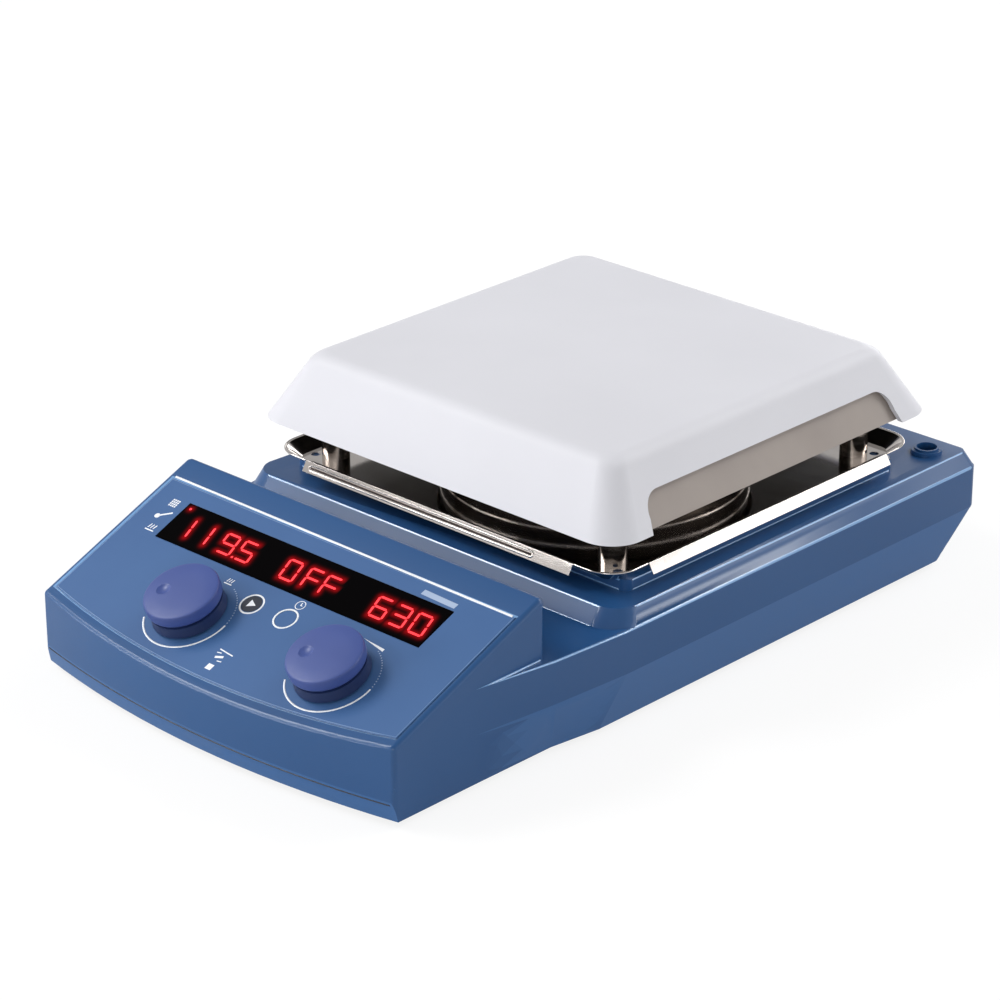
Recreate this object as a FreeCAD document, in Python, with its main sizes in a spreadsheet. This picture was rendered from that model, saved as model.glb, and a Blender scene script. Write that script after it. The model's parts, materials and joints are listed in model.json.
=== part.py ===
import FreeCAD, Part
import math
import os
import Sketcher

# Hotplate magnetic stirrer: a wedge-shaped console in front, a low body behind it,
# and a square heating plate on four posts over a polished deflector tray.
# X is the width, Y the depth from the console to the rear, Z points up.
# The origin lies at the middle of the footprint, on the table.

os.makedirs("parts", exist_ok=True)
doc = FreeCAD.newDocument("stirrer")
sheet = doc.addObject("Spreadsheet::Sheet", "sizes")


# A size keeps a number together with the sheet formula that gives it.
class Size:
    def __init__(self, value, text):
        self.value = value
        self.text = text

    def __add__(self, other):
        other = as_size(other)
        return Size(self.value + other.value, "(" + self.text + " + " + other.text + ")")

    def __sub__(self, other):
        other = as_size(other)
        return Size(self.value - other.value, "(" + self.text + " - " + other.text + ")")

    def __mul__(self, other):
        other = as_size(other)
        return Size(self.value * other.value, self.text + " * " + other.text)

    def __truediv__(self, other):
        other = as_size(other)
        return Size(self.value / other.value, self.text + " / (" + other.text + ")")

    def __neg__(self):
        return Size(-self.value, "(0 - " + self.text + ")")

    def __radd__(self, other):
        return as_size(other) + self

    def __rsub__(self, other):
        return as_size(other) - self

    def __rmul__(self, other):
        return as_size(other) * self


def as_size(number):
    if isinstance(number, Size):
        return number
    return Size(float(number), "(" + repr(float(number)) + ")")


def sine(angle):
    return Size(math.sin(math.radians(angle.value)), "sin(" + angle.text + " * 1 deg)")


def cosine(angle):
    return Size(math.cos(math.radians(angle.value)), "cos(" + angle.text + " * 1 deg)")


sheet_row = 0


def given(name, value, note):
    global sheet_row
    sheet_row += 1
    row = str(sheet_row)
    sheet.set("A" + row, note)
    sheet.set("B" + row, str(value))
    sheet.setAlias("B" + row, name)
    return Size(float(value), "sizes." + name)


# Body
body_width = given("body_width", 215, "widest part of the body")
body_depth = given("body_depth", 351, "console corner to rear wall")
front_bow = given("front_bow", 11, "how far the middle of the front bows out")
foot_height = given("foot_height", 3, "gap between table and body")
wall = given("wall", 3, "wall of the housing")
console_width = given("console_width", 201, "width of the console")
console_depth = given("console_depth", 82.5, "front line to the back of the console")
panel_start = given("panel_start", 32.1, "height of the panel at the front line")
panel_tilt = given("panel_tilt", 22.8, "slope of the panel in degrees")
ledge_height = given("ledge_height", 39.7, "height of the flat beside the console")
ledge_start = given("ledge_start", 44, "where the side wall leaves the console")
ledge_bend = given("ledge_bend", 84, "where the flare changes direction")
ledge_bend_flare = given("ledge_bend_flare", 4.3, "flare of the wall at that bend")
ledge_end = given("ledge_end", 123, "where the wall reaches full width")
undercut_height = given("undercut_height", 21, "height of the undercut below the walls")
undercut_side = given("undercut_side", 3.5, "how far the sides come in below")
undercut_rear = given("undercut_rear", 18, "how far the rear comes in below")
undercut_start = given("undercut_start", 110.5, "where the side undercut begins at the foot")
console_foot = given("console_foot", 86, "end of the straight console foot")
front_strip = given("front_strip", 8.6, "height of the sloped strip under the front")
front_strip_inset = given("front_strip_inset", 2, "how far that strip comes in")
rear_block_start = given("rear_block_start", 115.2, "front of the raised rear body")
rear_block_corner = given("rear_block_corner", 13.5, "front corner radius of the rear body")
rear_corner = given("rear_corner", 5, "rear corner radius")
deck_height = given("deck_height", 47.2, "height of the deck")
deck_side_inset = given("deck_side_inset", 2.9, "slope of the band at the sides")
deck_front_inset = given("deck_front_inset", 5.4, "slope of the band in front")
deck_rear_inset = given("deck_rear_inset", 4.5, "slope of the band at the rear")
edge_round = given("edge_round", 2.4, "rounding of the console edges")
plinth_width = given("plinth_width", 188.8, "width of the raised plinth")
plinth_depth = given("plinth_depth", 172, "depth of the raised plinth")
plinth_height = given("plinth_height", 5, "height of the plinth above the deck")
plinth_corner = given("plinth_corner", 4, "corner radius of the plinth")

# Heating plate and tray
plate_centre = given("plate_centre", 222.5, "front line to the middle of the plate")
plate_bottom = given("plate_bottom", 72.7, "height of the lower edge of the skirt")
plate_top = given("plate_top", 101.4, "height of the working surface")
plate_reach = given("plate_reach", 102.5, "half the width at the lower edge")
plate_lean = given("plate_lean", 30.4, "lean of the skirt in degrees")
plate_low_corner = given("plate_low_corner", 15, "corner radius at the lower edge")
plate_corner_change = given("plate_corner_change", 0.4, "corner radius lost per inward step")
plate_edge_round = given("plate_edge_round", 9, "rounding of the top edge")
plate_skin = given("plate_skin", 2.2, "thickness of the plate cover")
cutout_half = given("cutout_half", 79.8, "half the length of the side cut-out")
cutout_height = given("cutout_height", 14.4, "height of the side cut-out")
cutout_round = given("cutout_round", 9, "corner radius of the cut-out")
pan_gap = given("pan_gap", 0.5, "gap between skirt and inner pan")
pan_skin = given("pan_skin", 1.2, "sheet of the inner pan")
pan_rim = given("pan_rim", 90, "height of the upper rim of the pan")
sheet_metal = given("sheet_metal", 0.8, "sheet of the tray")
tray_floor_reach = given("tray_floor_reach", 90.2, "half the width of the tray floor")
tray_reach = given("tray_reach", 97.4, "half the width over the rim of the tray")
tray_rise = given("tray_rise", 5, "rise of the rim above the floor")
tray_corner_centre = given("tray_corner_centre", 83.9, "middle of the tray to its corner arcs")
tray_lip_half = given("tray_lip_half", 76, "half the length of a folded lip")
tray_lip_height = given("tray_lip_height", 4.2, "height of the folded lip")
tray_lip_lean = given("tray_lip_lean", 2.5, "how far the lip leans out")
tray_drain_reach = given("tray_drain_reach", 86.3, "drain hole to the middle, sideways")
post_reach_x = given("post_reach_x", 79, "posts from the middle, sideways")
post_reach_y = given("post_reach_y", 77, "posts from the middle, front to rear")
post_radius = given("post_radius", 6, "radius of the posts")
drum_radius = given("drum_radius", 66, "radius of the magnet cover")
drum_top = given("drum_top", 92, "height of the magnet cover")
drum_gap = given("drum_gap", 1.5, "gap around the magnet cover")

# Console parts, measured on the sloped panel
membrane_width = given("membrane_width", 194.8, "width of the front membrane")
membrane_low = given("membrane_low", 4.5, "lower corners of the membrane")
membrane_high = given("membrane_high", 75, "upper edge of the membrane")
membrane_bow = given("membrane_bow", 11, "bow of its lower edge")
membrane_recess = given("membrane_recess", 0.8, "recess for the membrane")
membrane_sheet = given("membrane_sheet", 0.6, "thickness of the membrane")
window_left = given("window_left", -78.3, "left end of the display window")
window_width = given("window_width", 150.4, "width of the display window")
window_low = given("window_low", 45.5, "lower edge of the display window")
window_height = given("window_height", 21.2, "height of the display window")
knob_left_x = given("knob_left_x", -30.8, "left knob, sideways")
knob_right_x = given("knob_right_x", 50.3, "right knob, sideways")
knob_slope = given("knob_slope", 18.9, "knobs, up the slope")
knob_radius = given("knob_radius", 16, "radius of the knob caps")
knob_height = given("knob_height", 12, "top of the knobs above the panel")
shaft_radius = given("shaft_radius", 3, "radius of the knob shafts")
run_key_x = given("run_key_x", -9.4, "run key, sideways")
timer_key_x = given("timer_key_x", 9.9, "timer key, sideways")
key_slope = given("key_slope", 33.6, "keys, up the slope")
key_radius = given("key_radius", 4.6, "radius of the keys")
key_travel = given("key_travel", 0.5, "travel of the keys")
running_gap = given("running_gap", 0.08, "radial gap of a running fit")
loose_gap = given("loose_gap", 0.3, "gap around parts that only pass through")
board_depth = given("board_depth", 10, "control board below the panel")
board_sheet = given("board_sheet", 1.6, "thickness of the circuit boards")

# Rod socket and rear
rod_x = given("rod_x", 93.2, "rod socket, sideways")
rod_y = given("rod_y", 332.5, "rod socket from the front line")
rod_bore = given("rod_bore", 4.25, "radius of the socket bore")
bay_half = given("bay_half", 74, "half the width of the rear bay")
bay_low = given("bay_low", 5, "lower edge of the rear bay")
bay_high = given("bay_high", 39.5, "upper edge of the rear bay")
bay_face = given("bay_face", 338, "connector face from the front line")
bay_sheet = given("bay_sheet", 2, "sheet of the rear bay")
inlet_x = given("inlet_x", 30, "mains inlet, sideways")
inlet_z = given("inlet_z", 21.5, "mains inlet, height")
sensor_x = given("sensor_x", -42, "sensor socket, sideways")

# Drive
motor_radius = given("motor_radius", 34, "radius of the motor")
motor_low = given("motor_low", 12, "underside of the motor")
bracket_sheet = given("bracket_sheet", 2.5, "sheet of the motor bracket")
rotor_radius = given("rotor_radius", 48, "radius of the magnet carrier")
rotor_low = given("rotor_low", 77, "underside of the magnet carrier")

none = as_size(0)
doc.recompute()

# Places used again and again
front_line = (front_bow - body_depth) / 2
rear_line = front_line + body_depth
plate_y = front_line + plate_centre
floor_top = deck_height + plinth_height + sheet_metal
tilt_sine = sine(panel_tilt)
tilt_cosine = cosine(panel_tilt)
tilt_slope = tilt_sine / tilt_cosine
body_half = body_width / 2
console_half = console_width / 2


def raised(height):
    return foot_height + height


# Bodies, sketches and features
def new_body(name):
    part = doc.addObject("PartDesign::Body", name)
    part.Label = name
    return part


def plane_of(part, role):
    for feature in part.Origin.OriginFeatures:
        if feature.Role == role:
            return feature


def bind(thing, prop, size):
    thing.setExpression(prop, as_size(size).text)


def new_sketch(part, name, role="XY_Plane", offset=none):
    drawing = part.newObject("Sketcher::SketchObject", name)
    drawing.AttachmentSupport = [(plane_of(part, role), "")]
    drawing.MapMode = "FlatFace"
    drawing.AttachmentOffset = FreeCAD.Placement(
        FreeCAD.Vector(0, 0, as_size(offset).value), FreeCAD.Rotation())
    bind(drawing, "AttachmentOffset.Base.z", offset)
    return drawing


def pin(drawing, geometry, point, across, up):
    number = drawing.addConstraint(
        Sketcher.Constraint("DistanceX", -1, 1, geometry, point, across.value))
    drawing.setExpression("Constraints[" + str(number) + "]", across.text)
    number = drawing.addConstraint(
        Sketcher.Constraint("DistanceY", -1, 1, geometry, point, up.value))
    drawing.setExpression("Constraints[" + str(number) + "]", up.text)


# Draws a closed outline through the corners. A bend gives the side that starts at
# a corner a radius and a centre, so that this side becomes an arc.
def outline(drawing, corners, bends=None):
    bends = bends or {}
    corners = [(as_size(a), as_size(b)) for a, b in corners]
    count = len(corners)
    ends = []
    for number in range(count):
        start = corners[number]
        stop = corners[(number + 1) % count]
        first = FreeCAD.Vector(start[0].value, start[1].value, 0)
        last = FreeCAD.Vector(stop[0].value, stop[1].value, 0)
        if number not in bends:
            geometry = drawing.addGeometry(Part.LineSegment(first, last), False)
            ends.append((geometry, 1, 2))
            continue
        radius, centre_across, centre_up = bends[number]
        centre = FreeCAD.Vector(as_size(centre_across).value, as_size(centre_up).value, 0)
        circle = Part.Circle(centre, FreeCAD.Vector(0, 0, 1), as_size(radius).value)
        begin = math.atan2(first.y - centre.y, first.x - centre.x)
        finish = math.atan2(last.y - centre.y, last.x - centre.x)
        turn = (first - centre).cross(last - centre).z
        if turn > 0:
            arc = Part.ArcOfCircle(circle, begin, finish)
            points = (1, 2)
        else:
            arc = Part.ArcOfCircle(circle, finish, begin)
            points = (2, 1)
        geometry = drawing.addGeometry(arc, False)
        ends.append((geometry,) + points)
        bound = drawing.addConstraint(
            Sketcher.Constraint("Radius", geometry, as_size(radius).value))
        drawing.setExpression("Constraints[" + str(bound) + "]", as_size(radius).text)
    for number in range(count):
        before = ends[number - 1]
        after = ends[number]
        drawing.addConstraint(
            Sketcher.Constraint("Coincident", before[0], before[2], after[0], after[1]))
        pin(drawing, after[0], after[1], corners[number][0], corners[number][1])
    return drawing


def circle(drawing, across, up, radius):
    across = as_size(across)
    up = as_size(up)
    radius = as_size(radius)
    shape = Part.Circle(
        FreeCAD.Vector(across.value, up.value, 0), FreeCAD.Vector(0, 0, 1), radius.value)
    geometry = drawing.addGeometry(shape, False)
    bound = drawing.addConstraint(Sketcher.Constraint("Radius", geometry, radius.value))
    drawing.setExpression("Constraints[" + str(bound) + "]", radius.text)
    pin(drawing, geometry, 3, across, up)
    return drawing


def rectangle(drawing, left, right, low, high):
    return outline(drawing, [(left, low), (right, low), (right, high), (left, high)])


# A rectangle with one radius at the two low corners and one at the two high corners.
def round_rectangle(drawing, left, right, low, high, low_radius, high_radius):
    corners = [
        (left + low_radius, low), (right - low_radius, low),
        (right, low + low_radius), (right, high - high_radius),
        (right - high_radius, high), (left + high_radius, high),
        (left, high - high_radius), (left, low + low_radius)]
    bends = {
        1: (low_radius, right - low_radius, low + low_radius),
        3: (high_radius, right - high_radius, high - high_radius),
        5: (high_radius, left + high_radius, high - high_radius),
        7: (low_radius, left + low_radius, low + low_radius)}
    return outline(drawing, corners, bends)


def pad(part, drawing, length, symmetric=False, reverse=False):
    feature = part.newObject("PartDesign::Pad", drawing.Name + "_pad")
    feature.Profile = drawing
    bind(feature, "Length", length)
    feature.Reversed = reverse
    if symmetric:
        feature.SideType = "Symmetric"
    part.Tip = feature
    return feature


def pocket(part, drawing, length, symmetric=False, reverse=False):
    feature = part.newObject("PartDesign::Pocket", drawing.Name + "_pocket")
    feature.Profile = drawing
    bind(feature, "Length", length)
    feature.Reversed = reverse
    if symmetric:
        feature.SideType = "Symmetric"
    part.Tip = feature
    return feature


def loft(part, drawings, hollow=False):
    kind = "PartDesign::SubtractiveLoft" if hollow else "PartDesign::AdditiveLoft"
    feature = part.newObject(kind, drawings[0].Name + "_loft")
    feature.Profile = drawings[0]
    feature.Sections = drawings[1:]
    feature.Ruled = True
    part.Tip = feature
    return feature


def revolve(part, drawing):
    feature = part.newObject("PartDesign::Revolution", drawing.Name + "_turned")
    feature.Profile = drawing
    feature.ReferenceAxis = (drawing, ["V_Axis"])
    feature.Angle = 360
    part.Tip = feature
    return feature


def groove(part, drawing):
    feature = part.newObject("PartDesign::Groove", drawing.Name + "_groove")
    feature.Profile = drawing
    feature.ReferenceAxis = (drawing, ["V_Axis"])
    feature.Angle = 360
    part.Tip = feature
    return feature


# Rounds the edges for which the test, given the middle and both ends, says yes.
def round_edges(part, name, radius, wanted):
    doc.recompute()
    base = part.Tip
    names = []
    for number, edge in enumerate(base.Shape.Edges):
        if not edge.Vertexes:
            continue
        middle = edge.valueAt((edge.FirstParameter + edge.LastParameter) / 2)
        first = edge.Vertexes[0].Point
        last = edge.Vertexes[-1].Point
        if wanted(middle, first, last):
            names.append("Edge" + str(number + 1))
    feature = part.newObject("PartDesign::Fillet", name)
    feature.Base = (base, names)
    bind(feature, "Radius", radius)
    part.Tip = feature
    return feature


def place(thing, across, back, up):
    bind(thing, "Placement.Base.x", across)
    bind(thing, "Placement.Base.y", back)
    bind(thing, "Placement.Base.z", up)
    return thing


# A point given on the panel: sideways, up the slope, and out of the surface.
def on_panel(across, slope, out):
    back = front_line + slope * tilt_cosine - out * tilt_sine
    up = raised(panel_start) + slope * tilt_sine + out * tilt_cosine
    return as_size(across), back, up


def tilt(thing):
    thing.Placement.Rotation = FreeCAD.Rotation(FreeCAD.Vector(1, 0, 0), panel_tilt.value)
    bind(thing, "Placement.Rotation.Angle", panel_tilt)
    return thing


def place_on_panel(thing, across=none, slope=none, out=none):
    tilt(thing)
    return place(thing, *on_panel(as_size(across), as_size(slope), as_size(out)))


# Plain solids and their combinations
def cylinder(name, radius, height, across, back, up):
    solid = doc.addObject("Part::Cylinder", name)
    bind(solid, "Radius", radius)
    bind(solid, "Height", height)
    return place(solid, across, back, up)


def block(name, left, right, front, back, low, high):
    solid = doc.addObject("Part::Box", name)
    bind(solid, "Length", as_size(right) - left)
    bind(solid, "Width", as_size(back) - front)
    bind(solid, "Height", as_size(high) - low)
    return place(solid, left, front, low)


# A block whose sides follow the panel.
def panel_block(name, left, right, low, high, inner, outer):
    solid = doc.addObject("Part::Box", name)
    bind(solid, "Length", as_size(right) - left)
    bind(solid, "Width", as_size(high) - low)
    bind(solid, "Height", as_size(outer) - inner)
    return place_on_panel(solid, left, low, inner)


def panel_cylinder(name, radius, across, slope, inner, outer):
    solid = doc.addObject("Part::Cylinder", name)
    bind(solid, "Radius", radius)
    bind(solid, "Height", as_size(outer) - inner)
    return place_on_panel(solid, across, slope, inner)


def join(name, solids):
    result = doc.addObject("Part::MultiFuse", name)
    result.Shapes = solids
    return result


def cut(name, base, tools):
    tool = tools[0]
    if len(tools) > 1:
        tool = join(name + "_tools", tools)
    result = doc.addObject("Part::Cut", name)
    result.Base = base
    result.Tool = tool
    return result


def group(name, solids):
    result = doc.addObject("Part::Compound", name)
    result.Links = solids
    return result


nodes = []


def finished(thing, name=None):
    if name:
        thing.Label = name
    nodes.append(thing)
    return thing


# The outline of the lower body. The side steps out from the console in two bends.
def body_outline(drawing, side_points, rear, inset):
    front = front_line + inset
    half = side_points[0][0]
    radius = (half * half + front_bow * front_bow) / (front_bow * 2)
    right = [(across, back) for across, back in side_points]
    left = [(-across, back) for across, back in reversed(side_points)]
    corners = right + left
    bends = {len(corners) - 1: (radius, none, front - front_bow + radius)}
    return outline(drawing, corners, bends)


# The form of the housing, once for the outside and once, moved in, for the hollow.
def housing_form(name, inset):
    form = new_body(name)
    half = body_half - inset
    side = console_half - inset
    rear = rear_line - inset
    front = front_line + inset
    ledge = raised(ledge_height) - inset
    deck = raised(deck_height) - inset
    upper = [
        (side, front), (side, front_line + ledge_start),
        (side + ledge_bend_flare, front_line + ledge_bend),
        (half, front_line + ledge_end), (half, rear)]
    lower = [
        (side - 0.2, front), (side - 0.2, front_line + ledge_start),
        (side + 0.1, front_line + console_foot),
        (half - undercut_side, front_line + undercut_start),
        (half - undercut_side, rear - undercut_rear)]
    foot = body_outline(new_sketch(form, name + "_foot", offset=foot_height), lower, rear, inset)
    waist = body_outline(
        new_sketch(form, name + "_waist", offset=raised(undercut_height)), upper, rear, inset)
    loft(form, [foot, waist])
    walls = body_outline(
        new_sketch(form, name + "_walls", offset=raised(undercut_height)), upper, rear, inset)
    pad(form, walls, ledge - raised(undercut_height))

    band_low = new_sketch(form, name + "_band_low", offset=ledge)
    round_rectangle(
        band_low, -half, half, front_line + rear_block_start + inset, rear,
        rear_block_corner, rear_corner)
    band_high = new_sketch(form, name + "_band_high", offset=deck)
    deck_half = half - deck_side_inset
    round_rectangle(
        band_high, -deck_half, deck_half,
        front_line + rear_block_start + deck_front_inset + inset, rear - deck_rear_inset,
        rear_block_corner - 2.5, rear_corner - 1)
    loft(form, [band_low, band_high])

    plinth = new_sketch(form, name + "_plinth", offset=deck)
    plinth_half = plinth_width / 2 - inset
    plinth_reach = plinth_depth / 2 - inset
    round_rectangle(
        plinth, -plinth_half, plinth_half, plate_y - plinth_reach, plate_y + plinth_reach,
        plinth_corner, plinth_corner)
    pad(form, plinth, plinth_height)

    console = new_sketch(form, name + "_console", offset=ledge)
    radius = (side * side + front_bow * front_bow) / (front_bow * 2)
    console_back = front_line + console_depth - inset
    outline(
        console,
        [(side, front), (side, console_back), (-side, console_back), (-side, front)],
        {3: (radius, none, front - front_bow + radius)})
    pad(form, console, console_depth * tilt_slope)

    slice_away = new_sketch(form, name + "_slope", "YZ_Plane")
    ahead = front_line - front_bow * 2
    drop = inset / tilt_cosine
    low = raised(panel_start) - drop - (front_bow * 2) * tilt_slope
    high = raised(panel_start) - drop + (console_depth + 2) * tilt_slope
    top = high + 40
    outline(slice_away, [
        (ahead, low), (front_line + console_depth + 2, high),
        (front_line + console_depth + 2, top), (ahead, top)])
    pocket(form, slice_away, body_width + 20, symmetric=True)
    return form


outside = housing_form("housing_outside", none)


# The upright corners of the console are rounded first, then its upper edges.
def upright_corner(middle, first, last):
    rear = (front_line + console_depth).value
    corner = abs(abs(middle.x) - console_half.value) < 1.0
    upright = abs(first.z - last.z) > 6 and abs(first.y - last.y) < 3 and abs(first.x - last.x) < 3
    at_rear = abs(middle.y - rear) < 1.0
    at_front = abs(middle.y - front_line.value) < 1.0
    return corner and upright and (at_rear or at_front)


round_edges(outside, "console_corners", edge_round, upright_corner)


# True for the edges that lie on the sloped top of the console.
def upper_edge(middle, first, last):
    for point in (first, last, middle):
        along = point.y - front_line.value
        height = raised(panel_start).value + along * tilt_slope.value
        if abs(point.z - height) > 0.05 or along > console_depth.value + 0.2:
            return False
    return True


round_edges(outside, "console_edges", edge_round - 0.4, upper_edge)


def rear_upright(middle, first, last):
    corner = abs(abs(middle.x) - body_half.value) < 4 and abs(middle.y - rear_line.value) < 12
    return corner and abs(first.z - last.z) > 6


round_edges(outside, "rear_corners", rear_corner - 0.5, rear_upright)

# The front comes in below a sharp line, in a cone around the centre of its bow.
bow_radius = (console_half * console_half + front_bow * front_bow) / (front_bow * 2)
strip = new_sketch(outside, "front_strip_cut", "YZ_Plane")
bind(strip, "AttachmentOffset.Base.x", front_line - front_bow + bow_radius)
outline(strip, [
    (-bow_radius - 1, foot_height - 1), (-bow_radius + front_strip_inset, foot_height - 1),
    (-bow_radius + front_strip_inset, foot_height), (-bow_radius, raised(front_strip)),
    (-bow_radius - 1, raised(front_strip))])
groove(outside, strip)

# The boss for the stand rod: a low collar with a narrower ring on it.
boss = new_sketch(outside, "rod_boss", offset=raised(deck_height))
circle(boss, rod_x, front_line + rod_y, rod_bore + 2.55)
pad(outside, boss, 1.7)
ring = new_sketch(outside, "rod_ring", offset=raised(deck_height))
circle(ring, rod_x, front_line + rod_y, rod_bore + 1.05)
pad(outside, ring, 2.5)

inside = housing_form("housing_inside", wall)
shell = cut("housing_shell", outside, [inside])

# Screw bosses hang from the roof down to the base plate.
base_low = raised(0.4)
base_high = base_low + 2
boss_places = [(86, 14, 35.2), (96, 132, 44.8), (92, 314, 45.2)]
bosses = []
boss_bores = []
for number, (across, back, roof) in enumerate(boss_places):
    for side in (-1, 1):
        tag = str(number) + ("_left" if side < 0 else "_right")
        across_here = as_size(across) * side
        back_here = front_line + back
        bosses.append(cylinder(
            "screw_boss_" + tag, 4, raised(roof) - base_high, across_here, back_here, base_high))
        boss_bores.append(cylinder(
            "boss_bore_" + tag, 1.6, 16, across_here, back_here, base_high))
bossed = join("bossed_shell", [shell] + bosses)

# The membrane and its recess share one outline: straight above, bowed below.
def membrane_form(name, grow, inner, outer):
    part = new_body(name)
    half = membrane_width / 2 + grow
    low = membrane_low - grow
    radius = (half * half + membrane_bow * membrane_bow) / (membrane_bow * 2)
    drawing = new_sketch(part, name + "_outline", offset=inner)
    outline(
        drawing,
        [(half, low), (half, membrane_high + grow), (-half, membrane_high + grow), (-half, low)],
        {3: (radius, none, low - membrane_bow + radius)})
    pad(part, drawing, as_size(outer) - inner)
    place_on_panel(part)
    return part


recess = membrane_form("membrane_bed", loose_gap / 2, -membrane_recess, as_size(6))
window_right = window_left + window_width
window_high = window_low + window_height
window_frame = 2.4
window_hole = panel_block(
    "window_hole", window_left + window_frame, window_right - window_frame,
    window_low + window_frame, window_high - window_frame, as_size(-8), as_size(3))
knob_holes = []
for name, across in (("left", knob_left_x), ("right", knob_right_x)):
    knob_holes.append(panel_cylinder(
        "knob_hole_" + name, shaft_radius + 1.8, across, knob_slope, as_size(-8), as_size(3)))
key_holes = []
for name, across in (("run", run_key_x), ("timer", timer_key_x)):
    key_holes.append(panel_cylinder(
        "key_hole_" + name, key_radius + loose_gap, across, key_slope, as_size(-8), as_size(3)))
rod_hole = cylinder("rod_hole", rod_bore + 0.2, 12, rod_x, front_line + rod_y, raised(42))
rear_hole = block(
    "rear_hole", -bay_half, bay_half, front_line + 329, rear_line + 2,
    raised(bay_low), raised(bay_high))
motor_hole = cylinder(
    "motor_hole", 13.5, 8, none, plate_y, raised(deck_height + plinth_height) - 6)
post_holes = []
for number, (side, end) in enumerate(((-1, -1), (1, -1), (1, 1), (-1, 1))):
    post_holes.append(cylinder(
        "post_hole_" + str(number), 3.1, 8, post_reach_x * side, plate_y + post_reach_y * end,
        raised(deck_height + plinth_height) - 6))
drive_places = [(-24, -24), (24, -24), (24, 24), (-24, 24)]
drive_holes = []
for number, (across, back) in enumerate(drive_places):
    drive_holes.append(cylinder(
        "drive_hole_" + str(number), 2.15, 8, across, plate_y + back,
        raised(deck_height + plinth_height) - 6))
housing = cut(
    "upper_housing", bossed,
    [recess, window_hole, rod_hole, rear_hole, motor_hole]
    + boss_bores + knob_holes + key_holes + post_holes + drive_holes)
finished(housing)

# Base plate with vents, its screws and the feet
base = new_body("base_plate_blank")
base_inset = wall + loose_gap
base_half = body_half - base_inset - undercut_side
base_side = console_half - base_inset - 0.2
base_rear = rear_line - undercut_rear - base_inset
base_front = base_inset + front_strip_inset
base_drawing = new_sketch(base, "base_outline", offset=base_low)
body_outline(base_drawing, [
    (base_side, front_line + base_front), (base_side, front_line + ledge_start),
    (base_side, front_line + console_foot),
    (base_half, front_line + undercut_start + 2), (base_half, base_rear)],
    base_rear, base_front)
pad(base, base_drawing, base_high - base_low)
vents = new_sketch(base, "vent_slots", offset=base_low)
slot_length = 34
slot_pitch = 8
for side in (-1, 1):
    middle = as_size(side * 62)
    round_rectangle(
        vents, middle - slot_length / 2, middle + slot_length / 2,
        plate_y - slot_pitch * 3 - 1.5, plate_y - slot_pitch * 3 + 1.5, as_size(1.4), as_size(1.4))
first_slots = pocket(base, vents, base_high - base_low, reverse=True)
slot_rows = base.newObject("PartDesign::LinearPattern", "slot_rows")
slot_rows.Originals = [first_slots]
slot_rows.Direction = (vents, ["V_Axis"])
slot_rows.Length = slot_pitch * 6
slot_rows.Occurrences = 7
base.Tip = slot_rows
foot_places = [(78, 34), (84, 296)]
base_tools = []
foot_parts = []
screw_parts = []
for number, (across, back, roof) in enumerate(boss_places):
    for side in (-1, 1):
        tag = str(number) + ("_left" if side < 0 else "_right")
        across_here = as_size(across) * side
        back_here = front_line + back
        base_tools.append(cylinder("base_hole_" + tag, 1.8, 6, across_here, back_here, base_low - 2))
        screw_parts.append(join("base_screw_" + tag, [
            cylinder("screw_head_" + tag, 3, 1.6, across_here, back_here, base_low - 1.6),
            cylinder("screw_shank_" + tag, 1.5, 13, across_here, back_here, base_low - 0.1)]))
for number, (across, back) in enumerate(foot_places):
    for side in (-1, 1):
        tag = str(number) + ("_left" if side < 0 else "_right")
        across_here = as_size(across) * side
        back_here = front_line + back
        base_tools.append(cylinder("foot_hole_" + tag, 3.1, 6, across_here, back_here, base_low - 2))
        pad_cone = doc.addObject("Part::Cone", "foot_pad_" + tag)
        bind(pad_cone, "Radius1", 8)
        bind(pad_cone, "Radius2", 9.5)
        bind(pad_cone, "Height", base_low)
        place(pad_cone, across_here, back_here, none)
        stem = cylinder("foot_stem_" + tag, 3, 2.2, across_here, back_here, base_low - 0.1)
        foot_parts.append(join("foot_" + tag, [pad_cone, stem]))
finished(cut("base_plate", base, base_tools))
finished(group("feet", foot_parts))
finished(group("base_screws", screw_parts))

# Front membrane, window, keys and what lies behind them
membrane = membrane_form(
    "membrane_blank", none, -membrane_recess, -membrane_recess + membrane_sheet)
membrane_window = panel_block(
    "membrane_window", window_left - 0.1, window_right + 0.1, window_low - 0.1,
    window_high + 0.1, as_size(-3), as_size(3))
finished(cut("front_overlay", membrane, [membrane_window] + knob_holes + key_holes))
finished(panel_block(
    "display_window", window_left, window_right, window_low, window_high,
    -membrane_recess, as_size(-0.1)))
display_middle = window_low + window_height / 2
display_places = [-46, 7.8, 52.5]
modules = []
for number, across in enumerate(display_places):
    modules.append(panel_block(
        "digit_block_" + str(number), as_size(across) - 16, as_size(across) + 16 - number % 2,
        display_middle - 7.5, display_middle + 7.5, -board_depth, -membrane_recess - 0.3))
finished(group("display_modules", modules))
board = panel_block("control_board_blank", as_size(-80), as_size(80), as_size(8), as_size(71),
                    -board_depth - board_sheet, -board_depth)
board_places = [(-76, 14), (76, 14), (-76, 68.2), (76, 68.2), (0, 13), (-19, 68.2)]
board_holes = []
spacers = []
board_screws = []
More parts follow.
